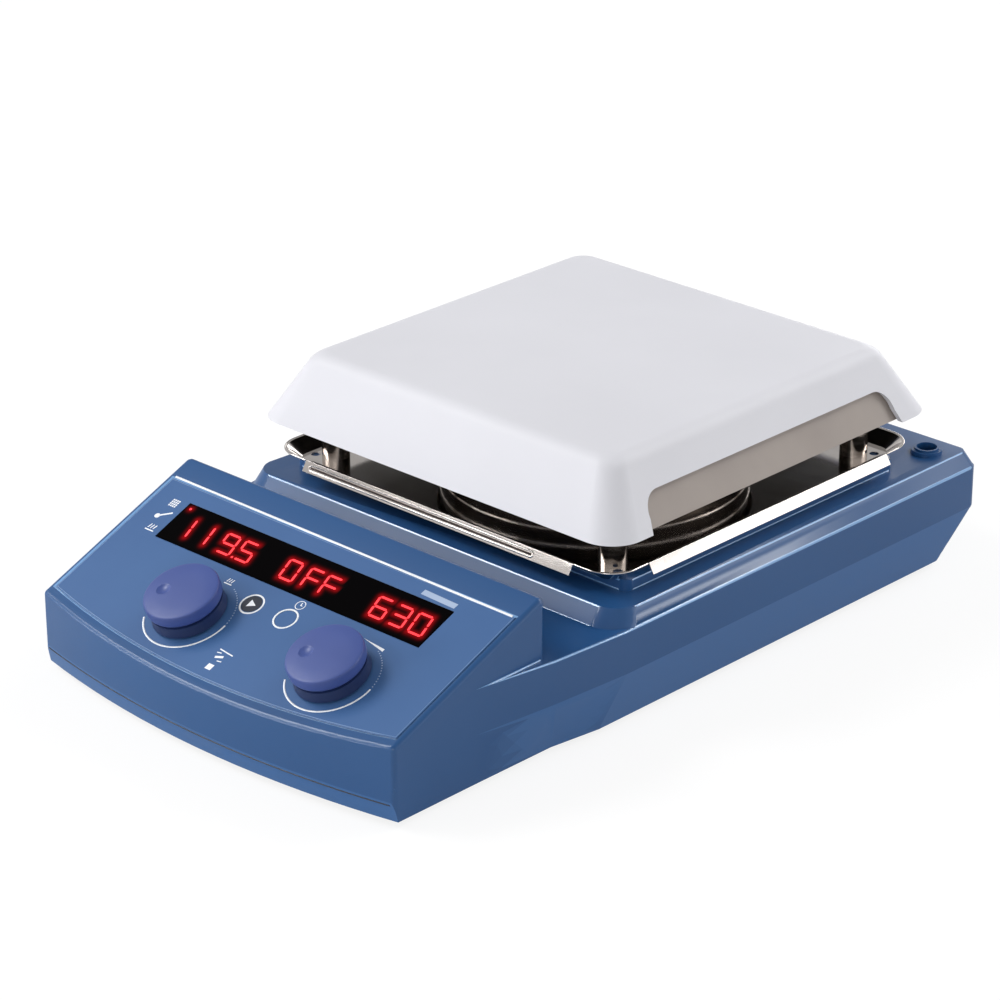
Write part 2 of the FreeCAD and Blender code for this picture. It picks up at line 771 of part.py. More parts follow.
for number, (across, slope) in enumerate(board_places):
    tag = str(number)
    across = as_size(across)
    slope = as_size(slope)
    board_holes.append(panel_cylinder(
        "board_hole_" + tag, 1.7, across, slope, -board_depth - 4, -board_depth + 1))
    spacers.append(cut("spacer_" + tag, panel_cylinder(
        "spacer_body_" + tag, 2.6, across, slope, -board_depth, -wall), [panel_cylinder(
            "spacer_bore_" + tag, 1.55, across, slope, -board_depth - 1, -wall - 1)]))
    board_screws.append(join("board_screw_" + tag, [
        panel_cylinder("board_head_" + tag, 2.6, across, slope,
                       -board_depth - board_sheet - 1.6, -board_depth - board_sheet),
        panel_cylinder("board_shank_" + tag, 1.5, across, slope,
                       -board_depth - board_sheet - 0.1, -wall - 2)]))
finished(cut("control_board", board, board_holes))
finished(group("board_spacers", spacers))
finished(group("board_screws", board_screws))
encoders = []
for name, across in (("left", knob_left_x), ("right", knob_right_x)):
    case = panel_block("encoder_case_" + name, across - 7, across + 7, knob_slope - 7,
                       knob_slope + 7, -board_depth, as_size(-3.4))
    bushing = panel_cylinder("encoder_bushing_" + name, shaft_radius + 1.5, across, knob_slope,
                             as_size(-3.5), as_size(0.2))
    bore = panel_cylinder("encoder_bore_" + name, shaft_radius + running_gap, across, knob_slope,
                          -board_depth + 2, as_size(1))
    encoders.append(cut("encoder_" + name, join("encoder_solid_" + name, [case, bushing]), [bore]))
finished(group("rotary_encoders", encoders))
switches = []
for name, across in (("run", run_key_x), ("timer", timer_key_x)):
    switches.append(panel_block("switch_" + name, across - 3, across + 3, key_slope - 3,
                                key_slope + 3, -board_depth, as_size(-6.2)))
finished(group("key_switches", switches))


def key(name, across):
    cap = panel_cylinder(name + "_cap", key_radius, across, key_slope, as_size(-3.8), as_size(-0.15))
    rim = panel_cylinder(name + "_rim", key_radius + 1, across, key_slope,
                         -wall - 0.9, -wall - 0.2)
    stem = panel_cylinder(name + "_stem", 1.6, across, key_slope,
                          as_size(-6.1) + key_travel, as_size(-3.7))
    return finished(join(name, [cap, rim, stem]))


key("run_key", run_key_x)
key("timer_key", timer_key_x)


# A knob with its shaft: collar, groove and cap turned in one, with a finger dimple.
def knob(name, across):
    part = new_body(name + "_turned")
    cap = knob_radius
    profile = [
        (none, as_size(-4.5)), (shaft_radius, as_size(-4.5)), (shaft_radius, as_size(0.7)),
        (cap - 0.2, as_size(0.7)), (cap - 0.7, knob_height - 6.9), (cap - 1.7, knob_height - 6.7),
        (cap - 1.7, knob_height - 5.9), (cap - 0.6, knob_height - 5.6),
        (cap, knob_height - 4.6), (cap, knob_height - 1.3), (cap - 0.4, knob_height - 0.5),
        (cap - 1.3, knob_height - 0.1), (cap - 6, knob_height + 0.35), (none, knob_height + 0.6)]
    drawing = new_sketch(part, name + "_profile", "XZ_Plane")
    outline(drawing, profile)
    revolve(part, drawing)
    place_on_panel(part, across, knob_slope)
    ball = doc.addObject("Part::Sphere", name + "_ball")
    bind(ball, "Radius", 6)
    place(ball, *on_panel(across - 7, knob_slope - 3, knob_height + 5.5))
    return finished(cut(name, part, [ball]))


knob("knob_left", knob_left_x)
knob("knob_right", knob_right_x)

# Threaded bush for the stand rod, under the deck
bush = cylinder("bush_body", rod_bore + 2.4, 17, rod_x, front_line + rod_y,
                raised(deck_height) - wall - 17)
bush_bore = cylinder("bush_bore", rod_bore, 19, rod_x, front_line + rod_y,
                     raised(deck_height) - wall - 18)
finished(cut("rod_socket", bush, [bush_bore]))

# Deflector tray: a shallow square pan pressed from sheet. Its wall flares outward all
# round, and along the middle of each side the rim is folded over into a leaning lip.
tray = new_body("tray_pressed")
floor_low = raised(deck_height + plinth_height)
floor_high = raised(floor_top)
rim = floor_high + tray_rise
flare = (tray_reach - tray_floor_reach) / (tray_rise + sheet_metal)
wall_across = sheet_metal * 1.6


def tray_form(name, stations, hollow=False):
    sections = []
    for number, (height, reach) in enumerate(stations):
        corner = reach - tray_corner_centre
        drawing = new_sketch(tray, name + "_" + str(number), offset=height)
        round_rectangle(
            drawing, -reach, reach, plate_y - reach, plate_y + reach, corner, corner)
        sections.append(drawing)
    loft(tray, sections, hollow)


def tray_lip(drawing, middle, side):
    foot = rim - tray_lip_height
    inner = tray_reach - sheet_metal
    outline(drawing, [
        (middle + inner * side, rim), (middle + tray_reach * side, rim),
        (middle + (tray_reach + tray_lip_lean) * side, foot),
        (middle + (inner + tray_lip_lean) * side, foot)])


tray_form("tray_outside", [(floor_low, tray_floor_reach), (rim, tray_reach)])
for role, tag, offset, middle in (
        ("XZ_Plane", "sides", -plate_y, none), ("YZ_Plane", "ends", none, plate_y)):
    lips = new_sketch(tray, "tray_lip_" + tag, role, offset)
    for side in (-1, 1):
        tray_lip(lips, middle, as_size(side))
    pad(tray, lips, tray_lip_half * 2, symmetric=True)
inner_foot = tray_floor_reach + flare * sheet_metal - wall_across
tray_form("tray_inside", [
    (floor_high, inner_foot), (rim + 1, inner_foot + flare * (tray_rise + 1))], hollow=True)
drain_holes = []
for number, (side, end) in enumerate(((-1, -1), (1, -1), (1, 1), (-1, 1))):
    drain_holes.append(cylinder(
        "drain_hole_" + str(number), 2, 4, tray_drain_reach * side,
        plate_y + (tray_drain_reach - 4.3) * end, floor_low - 1))
finished(cut(
    "deflector_tray", tray, [motor_hole] + post_holes + drive_holes + drain_holes))

# Posts with a pin at each end, and the nuts below the plinth
pan_low = raised(plate_bottom) + 0.5
plinth_roof = floor_low - wall
posts = []
nuts = []
for number, (side, end) in enumerate(((-1, -1), (1, -1), (1, 1), (-1, 1))):
    tag = str(number)
    across = post_reach_x * side
    back = plate_y + post_reach_y * end
    posts.append(join("post_" + tag, [
        cylinder("post_body_" + tag, post_radius, pan_low - floor_high, across, back, floor_high),
        cylinder("post_pin_" + tag, 3, pan_low + pan_skin - plinth_roof + 4, across, back,
                 plinth_roof - 4)]))
    prism = doc.addObject("Part::Prism", "nut_body_" + tag)
    prism.Polygon = 6
    bind(prism, "Circumradius", 5.8)
    bind(prism, "Height", 3)
    place(prism, across, back, plinth_roof - 3)
    nuts.append(cut("nut_" + tag, prism, [
        cylinder("nut_bore_" + tag, 3.05, 5, across, back, plinth_roof - 4)]))
finished(group("plate_posts", posts))
finished(group("post_nuts", nuts))


# A square with rounded corners that narrows upward like the skirt of the plate.
# With a rounding, the sections follow an arc from the skirt into the flat top.
def plate_form(name, inset, low, high, rounding=None):
    form = new_body(name)
    inset = as_size(inset)
    lean = sine(plate_lean) / cosine(plate_lean)
    shift = inset / cosine(plate_lean)

    def half_at(height):
        return plate_reach - (height - raised(plate_bottom)) * lean - shift

    stations = [(low, half_at(low))]
    if rounding is None:
        stations.append((high, half_at(high)))
    else:
        sweep = 90 - plate_lean
        centre_across = half_at(high) - rounding * sine(sweep / 2) / cosine(sweep / 2)
        steps = 6
        for step in range(steps + 1):
            angle = sweep * ((steps - step) / steps)
            stations.append((
                high - rounding + rounding * cosine(angle),
                centre_across + rounding * sine(angle)))
    drawings = []
    for number, (height, half) in enumerate(stations):
        corner = plate_low_corner - (plate_reach - half) * plate_corner_change
        drawing = new_sketch(form, name + "_" + str(number), offset=height)
        round_rectangle(drawing, -half, half, plate_y - half, plate_y + half, corner, corner)
        drawings.append(drawing)
    loft(form, drawings)
    return form


cover = plate_form(
    "plate_outside", none, raised(plate_bottom), raised(plate_top), plate_edge_round)
cover_low = raised(plate_bottom) - 1
cover_inner = plate_form(
    "plate_inside", plate_skin, cover_low, raised(plate_top) - plate_skin,
    plate_edge_round - plate_skin)
windows = new_body("plate_windows")
arch = new_sketch(windows, "plate_arch", "YZ_Plane")
arch_top = raised(plate_bottom) + cutout_height
outline(arch, [
    (plate_y - cutout_half, cover_low), (plate_y + cutout_half, cover_low),
    (plate_y + cutout_half - 2, arch_top - cutout_round),
    (plate_y + cutout_half - 2 - cutout_round, arch_top),
    (plate_y - cutout_half + 2 + cutout_round, arch_top),
    (plate_y - cutout_half + 2, arch_top - cutout_round)],
    {2: (cutout_round, plate_y + cutout_half - 2 - cutout_round, arch_top - cutout_round),
     4: (cutout_round, plate_y - cutout_half + 2 + cutout_round, arch_top - cutout_round)})
pad(windows, arch, plate_reach * 2 + 20, symmetric=True)
finished(cut("top_plate", cover, [cover_inner, windows]))

# Inner pan, insulation and heater under the plate
pan_inset = plate_skin + pan_gap
pan_outside = plate_form("pan_outside", pan_inset, pan_low, raised(pan_rim))
pan_inside = plate_form(
    "pan_inside", pan_inset + pan_skin, pan_low + pan_skin, raised(pan_rim) + 1)
pan_hole = cylinder("pan_hole", drum_radius + drum_gap, 10, none, plate_y, pan_low - 4)
pan_pins = []
for number, (side, end) in enumerate(((-1, -1), (1, -1), (1, 1), (-1, 1))):
    pan_pins.append(cylinder(
        "pan_pin_" + str(number), 3.1, 8, post_reach_x * side, plate_y + post_reach_y * end,
        pan_low - 4))
finished(cut("heater_pan", pan_outside, [pan_inside, pan_hole] + pan_pins))
heater_sheet = 3
heater_low = raised(plate_top) - plate_skin - heater_sheet
wool = plate_form("insulation_blank", as_size(6.5), pan_low + pan_skin, heater_low)
wool_hole = cylinder(
    "insulation_hole", drum_radius + drum_gap, 40, none, plate_y, pan_low - 4)
finished(cut("insulation", wool, [wool_hole]))
heater = new_body("heating_element")
heater_outline = new_sketch(heater, "heater_outline", offset=heater_low)
heater_half = as_size(77)
round_rectangle(
    heater_outline, -heater_half, heater_half, plate_y - heater_half, plate_y + heater_half, 8, 8)
pad(heater, heater_outline, heater_sheet)
finished(heater)
finished(block("temperature_sensor", as_size(-7), as_size(7), plate_y - 4, plate_y + 4,
               heater_low - 2.8, heater_low))

# Magnet cover: a can that stands on the tray and reaches up into the heater
can = new_body("magnet_cover")
can_profile = new_sketch(can, "can_profile", "XZ_Plane")
can_top = raised(drum_top)
outline(can_profile, [
    (drum_radius - sheet_metal, floor_high), (drum_radius, floor_high),
    (drum_radius, can_top - 2), (drum_radius - 2, can_top), (none, can_top),
    (none, can_top - sheet_metal), (drum_radius - 2.3, can_top - sheet_metal),
    (drum_radius - sheet_metal, can_top - 2.3)])
revolve(can, can_profile)
place(can, none, plate_y, none)
finished(can)

# Motor on its bracket, and the magnets that it turns
bracket = block("bracket_blank", as_size(-46), as_size(46), plate_y - 40, plate_y + 40,
                plinth_roof - bracket_sheet, plinth_roof)
bracket_hole = cylinder("bracket_hole", 12.4, 10, none, plate_y, plinth_roof - 6)
finished(cut("motor_bracket", bracket, [bracket_hole] + drive_holes))
motor = new_body("motor")
motor_profile = new_sketch(motor, "motor_profile", "XZ_Plane")
motor_high = plinth_roof - bracket_sheet
low = raised(motor_low)
spindle = as_size(4)
outline(motor_profile, [
    (none, low), (motor_radius - 3, low), (motor_radius, low + 3),
    (motor_radius, low + 11), (motor_radius - 1.2, low + 12), (motor_radius - 1.2, low + 22),
    (motor_radius, low + 23), (motor_radius, motor_high - 2), (motor_radius - 2, motor_high),
    (as_size(12), motor_high), (as_size(12), floor_high + 2), (spindle + running_gap, floor_high + 2),
    (spindle + running_gap, motor_high - 8), (none, motor_high - 8)])
revolve(motor, motor_profile)
place(motor, none, plate_y, none)
finished(motor)
drive_screws = []
for number, (across, back) in enumerate(drive_places):
    tag = str(number)
    drive_screws.append(join("drive_screw_" + tag, [
        cylinder("drive_head_" + tag, 3.6, 2.4, across, plate_y + back, floor_high),
        cylinder("drive_shank_" + tag, 2, floor_high - motor_high, across, plate_y + back,
                 motor_high + 0.1)]))
finished(group("drive_screws", drive_screws))
carrier = new_body("magnet_carrier")
carrier_profile = new_sketch(carrier, "carrier_profile", "XZ_Plane")
rotor_base = raised(rotor_low)
outline(carrier_profile, [
    (none, motor_high - 7.4), (spindle, motor_high - 7.4), (spindle, rotor_base - 8),
    (as_size(11), rotor_base - 8), (as_size(11), rotor_base), (rotor_radius, rotor_base),
    (rotor_radius, rotor_base + 4), (none, rotor_base + 4)])
revolve(carrier, carrier_profile)
place(carrier, none, plate_y, none)
finished(carrier)
magnets = []
for side in (-1, 1):
    middle = as_size(side * 27)
    magnets.append(block("magnet_" + ("left" if side < 0 else "right"), middle - 14, middle + 14,
                         plate_y - 12, plate_y + 12, rotor_base + 4, can_top - sheet_metal - 1.2))
finished(group("rotor_magnets", magnets))

# Rear bay: a shallow box with the connector face, trimmed to the housing
bay_gap = 0.2
bay_y = front_line + bay_face
bay_block = block(
    "bay_block", -bay_half + bay_gap, bay_half - bay_gap, bay_y - bay_sheet, rear_line + 2,
    raised(bay_low) + bay_gap, raised(bay_high) - bay_gap)
bay_hollow = block(
    "bay_hollow", -bay_half + bay_gap + bay_sheet, bay_half - bay_gap - bay_sheet, bay_y,
    rear_line + 4, raised(bay_low) + bay_gap + bay_sheet, raised(bay_high) - bay_gap - bay_sheet)
bay_box = cut("bay_box", bay_block, [bay_hollow])
bay_trimmed = doc.addObject("Part::Common", "bay_trimmed")
bay_trimmed.Base = bay_box
bay_trimmed.Tool = outside
inlet_middle = raised(inlet_z)
inlet_half = 36.5
inlet_rise = 13.4
inlet_depth = 19
flange_left = inlet_x - inlet_half
flange_right = inlet_x + inlet_half
module_left = flange_left + 6.8
module_right = flange_right - 5.2
inlet_hole = block(
    "inlet_hole", module_left - loose_gap, module_right + loose_gap, bay_y - 6, bay_y + 3,
    inlet_middle - 11.6, inlet_middle + 11.6)


def rear_cylinder(name, radius, across, up, near, far):
    solid = doc.addObject("Part::Cylinder", name)
    bind(solid, "Radius", radius)
    bind(solid, "Height", as_size(far) - near)
    solid.Placement.Rotation = FreeCAD.Rotation(FreeCAD.Vector(1, 0, 0), -90)
    return place(solid, as_size(across), near, up)


sensor_hole = rear_cylinder(
    "sensor_hole", 8.3, sensor_x, inlet_middle, bay_y - 6, bay_y + 3)
module_screw_places = [flange_left + 2.9, flange_right - 2.6]
module_screw_holes = []
module_screws = []
for number, across in enumerate(module_screw_places):
    tag = str(number)
    module_screw_holes.append(rear_cylinder(
        "module_hole_" + tag, 1.6, across, inlet_middle, bay_y - 4, bay_y + 4))
    module_screws.append(join("module_screw_" + tag, [
        rear_cylinder("module_head_" + tag, 2.4, across, inlet_middle, bay_y + 3, bay_y + 4.5),
        rear_cylinder("module_shank_" + tag, 1.5, across, inlet_middle, bay_y - 5, bay_y + 3.1)]))
finished(cut("rear_panel", bay_trimmed, [inlet_hole, sensor_hole] + module_screw_holes))
finished(group("inlet_screws", module_screws))

# Round socket for an external temperature probe
socket_body = join("probe_body", [
    rear_cylinder("probe_flange", 9.8, sensor_x, inlet_middle, bay_y, bay_y + 2),
    rear_cylinder("probe_barrel", 8, sensor_x, inlet_middle, bay_y - 14, bay_y + 1)])
probe_hollow = rear_cylinder("probe_hollow", 6.6, sensor_x, inlet_middle, bay_y - 8, bay_y + 3)
probe_pins = []
probe_bores = []
for number in range(5):
    angle = math.radians(-150 + number * 60)
    across = sensor_x + 4.2 * math.cos(angle)
    up = inlet_middle + 4.2 * math.sin(angle)
    tag = str(number)
    probe_pins.append(rear_cylinder("probe_pin_" + tag, 0.55, across, up, bay_y - 17, bay_y - 1.5))
    probe_bores.append(rear_cylinder("probe_bore_" + tag, 0.6, across, up, bay_y - 18, bay_y - 7))
finished(cut("sensor_socket", socket_body, [probe_hollow] + probe_bores))
finished(group("sensor_pins", probe_pins))

# Mains module: three-pin inlet, fuse drawer and rocker switch side by side
face = bay_y + 3
socket_x = flange_left + 21
drawer_x = flange_right - 27.5
rocker_x = flange_right - 13.1
module_flange = block(
    "module_flange", flange_left, flange_right, bay_y, face,
    inlet_middle - inlet_rise, inlet_middle + inlet_rise)
module_box = block(
    "module_box", module_left, module_right, face - inlet_depth, bay_y + 1,
    inlet_middle - 11.3, inlet_middle + 11.3)
socket = new_body("socket_hollow")
socket_outline = new_sketch(socket, "socket_outline", "XZ_Plane", -(face + 1))
outline(socket_outline, [
    (socket_x - 12.2, inlet_middle - 8.2), (socket_x + 12.2, inlet_middle - 8.2),
    (socket_x + 12.2, inlet_middle + 3), (socket_x + 7.4, inlet_middle + 8.2),
    (socket_x - 7.4, inlet_middle + 8.2), (socket_x - 12.2, inlet_middle + 3)])
pad(socket, socket_outline, 17)
drawer_slot = block(
    "drawer_slot", drawer_x - 4.7, drawer_x + 4.7, face - 17, face + 1,
    inlet_middle - 10, inlet_middle + 10)
rocker_slot = block(
    "rocker_slot", rocker_x - 6.6, rocker_x + 6.6, face - 15.5, face + 1,
    inlet_middle - 10.2, inlet_middle + 10.2)
pin_places = [(-7, -2), (7, -2), (0, 3)]
pins = []
pin_slots = []
for number, (across, up) in enumerate(pin_places):
    tag = str(number)
    pins.append(block("pin_" + tag, socket_x + across - 1, socket_x + across + 1,
                      face - inlet_depth - 5, face - 2, inlet_middle + up - 2, inlet_middle + up + 2))
    pin_slots.append(block("pin_slot_" + tag, socket_x + across - 1.05, socket_x + across + 1.05,
                           face - inlet_depth - 1, face - 10, inlet_middle + up - 2.05,
                           inlet_middle + up + 2.05))
module_solid = join("module_solid", [module_flange, module_box])
finished(cut(
    "inlet_housing", module_solid,
    [socket, drawer_slot, rocker_slot] + pin_slots + module_screw_holes))
finished(group("inlet_pins", pins))
drawer = new_body("fuse_drawer")
drawer_profile = new_sketch(drawer, "drawer_profile", "YZ_Plane", drawer_x)
outline(drawer_profile, [
    (face - 16, inlet_middle - 9.7), (face + 0.8, inlet_middle - 9.7),
    (face + 0.8, inlet_middle + 4), (face + 2.2, inlet_middle + 6),
    (face + 2.2, inlet_middle + 9.7), (face - 16, inlet_middle + 9.7)])
pad(drawer, drawer_profile, 8.8, symmetric=True)
finished(drawer)
rocker = new_body("power_rocker")
rocker_profile = new_sketch(rocker, "rocker_profile", "YZ_Plane")
rocker_radius = as_size(9.8)
rocker_reach = Size(math.sqrt(9.8 ** 2 - 3.0 ** 2), "sqrt(9.8 * 9.8 - 3.0 * 3.0)")
outline(
    rocker_profile,
    [(2.6, 9.3), (1.2, 0), (2.6, -9.3), (-3, -rocker_reach), (-3, rocker_reach)],
    {3: (rocker_radius, none, none)})
pad(rocker, rocker_profile, 12.6, symmetric=True)
rocker_tilt = 8
rocker.Placement.Rotation = FreeCAD.Rotation(FreeCAD.Vector(1, 0, 0), -rocker_tilt)
place(rocker, rocker_x, face - 0.8, inlet_middle)
finished(rocker)

# Power electronics on the base plate, in front of the motor
power_low = raised(8)
power_high = power_low + board_sheet
power_board = block("power_board_blank", as_size(-80), as_size(80), front_line + 98,
                    front_line + 176, power_low, power_high)
power_holes = []
power_pillars = []
for number, (across, back) in enumerate(((-74, 103), (74, 103), (74, 171), (-74, 171))):
    tag = str(number)
    across = as_size(across)
    back = front_line + back
    power_holes.append(cylinder("power_hole_" + tag, 1.6, 4, across, back, power_low - 1))
    power_pillars.append(join("pillar_" + tag, [
        cylinder("pillar_body_" + tag, 3, power_low - base_high, across, back, base_high),
        cylinder("pillar_pin_" + tag, 1.5, board_sheet + 1.2, across, back, power_low - 0.1)]))
finished(cut("power_board", power_board, power_holes))
finished(group("power_pillars", power_pillars))
finished(join("transformer", [
    block("iron_core", as_size(-68), as_size(-28), front_line + 120, front_line + 160,
          power_high, raised(34)),
    block("winding", as_size(-64), as_size(-32), front_line + 114, front_line + 166,
          raised(13), raised(31))]))
fins = [block("sink_foot", as_size(20), as_size(70), front_line + 128, front_line + 133,
              power_high, raised(33))]
for number in range(7):
    left = as_size(20 + number * 8)
    fins.append(block("sink_fin_" + str(number), left, left + 2, front_line + 132.5,
                      front_line + 156, power_high, raised(33)))
finished(join("heat_sink", fins))
finished(group("capacitors", [
    cylinder("capacitor_left", 8, 22, as_size(-6), front_line + 110, power_high),
    cylinder("capacitor_right", 8, 22, as_size(14), front_line + 110, power_high)]))

# Checks, then one file for each finished part
doc.recompute()
for thing in doc.Objects:
    if "Invalid" in thing.State or "Error" in thing.State:
        raise ValueError("not valid: " + thing.Name)
facets = 0
low_corner = FreeCAD.Vector(1e9, 1e9, 1e9)
high_corner = FreeCAD.Vector(-1e9, -1e9, -1e9)
for thing in nodes:
    shape = thing.Shape
    if shape.isNull() or not shape.isValid() or not shape.Solids:
        raise ValueError("empty or broken: " + thing.Label)
    triangles = len(shape.tessellate(0.2)[1])
    facets += triangles
    box = shape.BoundBox
    low_corner = FreeCAD.Vector(
        min(low_corner.x, box.XMin), min(low_corner.y, box.YMin), min(low_corner.z, box.ZMin))
    high_corner = FreeCAD.Vector(
        max(high_corner.x, box.XMax), max(high_corner.y, box.YMax), max(high_corner.z, box.ZMax))
    shape.exportStep("parts/" + thing.Label + ".step")
    print(thing.Label, len(shape.Solids), "solids", round(shape.Volume, 1), triangles)
print("parts", len(nodes), "triangles", facets, "low", low_corner, "high", high_corner)
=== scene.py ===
import json
import math

import bmesh
import bpy
from mathutils import Matrix, Vector


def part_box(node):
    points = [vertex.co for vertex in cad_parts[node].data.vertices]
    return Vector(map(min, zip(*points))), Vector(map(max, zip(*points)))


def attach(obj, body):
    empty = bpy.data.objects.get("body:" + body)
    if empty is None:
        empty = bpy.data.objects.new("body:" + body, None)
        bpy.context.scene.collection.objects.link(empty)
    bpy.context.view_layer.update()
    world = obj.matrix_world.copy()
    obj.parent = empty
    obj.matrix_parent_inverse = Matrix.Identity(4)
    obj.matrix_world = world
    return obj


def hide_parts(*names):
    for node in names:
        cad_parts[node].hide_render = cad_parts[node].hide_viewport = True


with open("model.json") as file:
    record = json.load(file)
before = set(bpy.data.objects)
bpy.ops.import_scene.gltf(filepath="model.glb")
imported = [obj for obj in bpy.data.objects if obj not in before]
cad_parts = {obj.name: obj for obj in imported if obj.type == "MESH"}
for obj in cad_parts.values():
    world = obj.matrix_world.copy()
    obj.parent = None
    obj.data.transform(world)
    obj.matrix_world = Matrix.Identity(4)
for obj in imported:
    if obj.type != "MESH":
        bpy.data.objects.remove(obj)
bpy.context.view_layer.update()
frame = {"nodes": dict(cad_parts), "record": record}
nodes = frame["nodes"]
scene = bpy.context.scene
mm = 0.001
mergeDistance = 0.002 * mm
panel = {"tilt": math.radians(22.8), "frontY": -170 * mm, "startZ": 35.1 * mm,
         "printSheet": 0.04 * mm}
print("stage: frame loaded,", len(nodes), "nodes")


# Colours and finishes

def linear(hexText):
    # a screen colour as the linear values that shaders take
    shares = [int(hexText[i:i + 2], 16) / 255 for i in (0, 2, 4)]
    return [s / 12.92 if s < 0.04045 else ((s + 0.055) / 1.055) ** 2.4 for s in shares] + [1.0]


def newMaterial(name):
    material = bpy.data.materials.new(name)
    material.use_nodes = True
    tree = material.node_tree
    return material, tree, tree.nodes["Principled BSDF"]


def mathOf(tree, operation, *values):
    # a sum or product of numbers and sockets
    node = tree.nodes.new("ShaderNodeMath")
    node.operation = operation
    for socket, value in zip(node.inputs, values):
        if isinstance(value, (int, float)):
            socket.default_value = value
        else:
            tree.links.new(value, socket)
    return node.outputs[0]


def vectorOf(tree, operation, place, constant):
    node = tree.nodes.new("ShaderNodeVectorMath")
    node.operation = operation
    node.inputs[1].default_value = constant
    tree.links.new(place, node.inputs[0])
    return node


def noiseOf(tree, place, scale, detail=2.0, stretch=None):
    if stretch:
        mapping = tree.nodes.new("ShaderNodeMapping")
        mapping.inputs["Scale"].default_value = stretch
        tree.links.new(place, mapping.inputs["Vector"])
        place = mapping.outputs["Vector"]
    noise = tree.nodes.new("ShaderNodeTexNoise")
    noise.inputs["Scale"].default_value = scale
    noise.inputs["Detail"].default_value = detail
    tree.links.new(place, noise.inputs["Vector"])
    return noise.outputs["Fac"]


def spread(tree, factor, low, high, fromLow=0.3, fromHigh=0.7):
    # maps a stretch of a value, by default the middle of a noise, onto a range
    change = tree.nodes.new("ShaderNodeMapRange")
    change.inputs["From Min"].default_value = fromLow
    change.inputs["From Max"].default_value = fromHigh
    change.inputs["To Min"].default_value = low
    change.inputs["To Max"].default_value = high
    tree.links.new(factor, change.inputs["Value"])
    return change.outputs["Result"]


def blendOf(tree, factor, first, second):
    mix = tree.nodes.new("ShaderNodeMix")
    mix.data_type = "RGBA"
    tree.links.new(factor, mix.inputs[0])
    for socket, colour in ((mix.inputs[6], first), (mix.inputs[7], second)):
        if isinstance(colour, list):
            socket.default_value = colour
        else:
            tree.links.new(colour, socket)
    return mix.outputs[2]


def facingDown(tree, start, full):
    # how far a surface faces down, from its true normal, between two slopes
    geometry = tree.nodes.new("ShaderNodeNewGeometry")
    split = tree.nodes.new("ShaderNodeSeparateXYZ")
    tree.links.new(geometry.outputs["True Normal"], split.inputs["Vector"])
    return spread(tree, split.outputs["Z"], 0.0, 1.0, start, full)


def belowLevel(tree, place, start, full):
    # how far a point lies below a level over the sloping panel
    offset = vectorOf(tree, "SUBTRACT", place, (0, panel["frontY"], panel["startZ"]))
    rise = vectorOf(tree, "DOT_PRODUCT", offset.outputs["Vector"],
                    (0, -math.sin(panel["tilt"]), math.cos(panel["tilt"])))
    return spread(tree, rise.outputs["Value"], 0.0, 1.0, start, full)


def newFinish(name, look):
    # the common build: mottled colour, painted light and shade on what faces down, painted shade
    # at a knob's foot, own shade in specks, uneven gloss, fine grain
    material, tree, shader = newMaterial(name)
    for label, key, usual in (("Metallic", "metal", 0.0), ("Coat Weight", "coat", 0.0),
                              ("Coat Roughness", "coatRough", 0.1),
                              ("Specular IOR Level", "specular", 0.5)):
        shader.inputs[label].default_value = look.get(key, usual)
    place = tree.nodes.new("ShaderNodeTexCoord").outputs["Object"]
    patches = noiseOf(tree, place, look.get("patch", 25), 3.0, look.get("stretch"))
    colour = blendOf(tree, spread(tree, patches, 0.0, 1.0),
                     linear(look["colour"]), linear(look["shade"]))
    if "under" in look:
        # painted light and shade: what faces down takes another colour, from one slope to a
        # steeper one; on the body it is a lighter blue, as the floor's light on it, on the pan a
        # near black, as the shade under it
        shade, start, full = look["under"]
        colour = blendOf(tree, facingDown(tree, start, full), colour, linear(shade))
    if "collar" in look:
        # painted shade: the foot of a knob, next to the panel, is painted darker than its cap, as
        # the shade that falls there
        shade, start, full = look["collar"]
        colour = blendOf(tree, belowLevel(tree, place, start, full), colour, linear(shade))
    if "specks" in look:
        specks = noiseOf(tree, place, look.get("speckScale", 420), 1.0)
        colour = blendOf(tree, spread(tree, specks, 0.0, 0.5, 0.68, 0.74), colour,
                         linear(look["specks"]))
    tree.links.new(colour, shader.inputs["Base Color"])
    smears = noiseOf(tree, place, look.get("smear", 60), 4.0, look.get("stretch"))
    low, high = look["rough"]
    tree.links.new(spread(tree, smears, low, high), shader.inputs["Roughness"])
    grain = noiseOf(tree, place, look.get("grain", 900), 2.0, look.get("stretch"))
    bump = tree.nodes.new("ShaderNodeBump")
    bump.inputs["Strength"].default_value = look.get("grainStrength", 0.1)
    bump.inputs["Distance"].default_value = look.get("grainDepth", 0.0001)
    tree.links.new(grain, bump.inputs["Height"])
    tree.links.new(bump.outputs["Normal"], shader.inputs["Normal"])
    return material


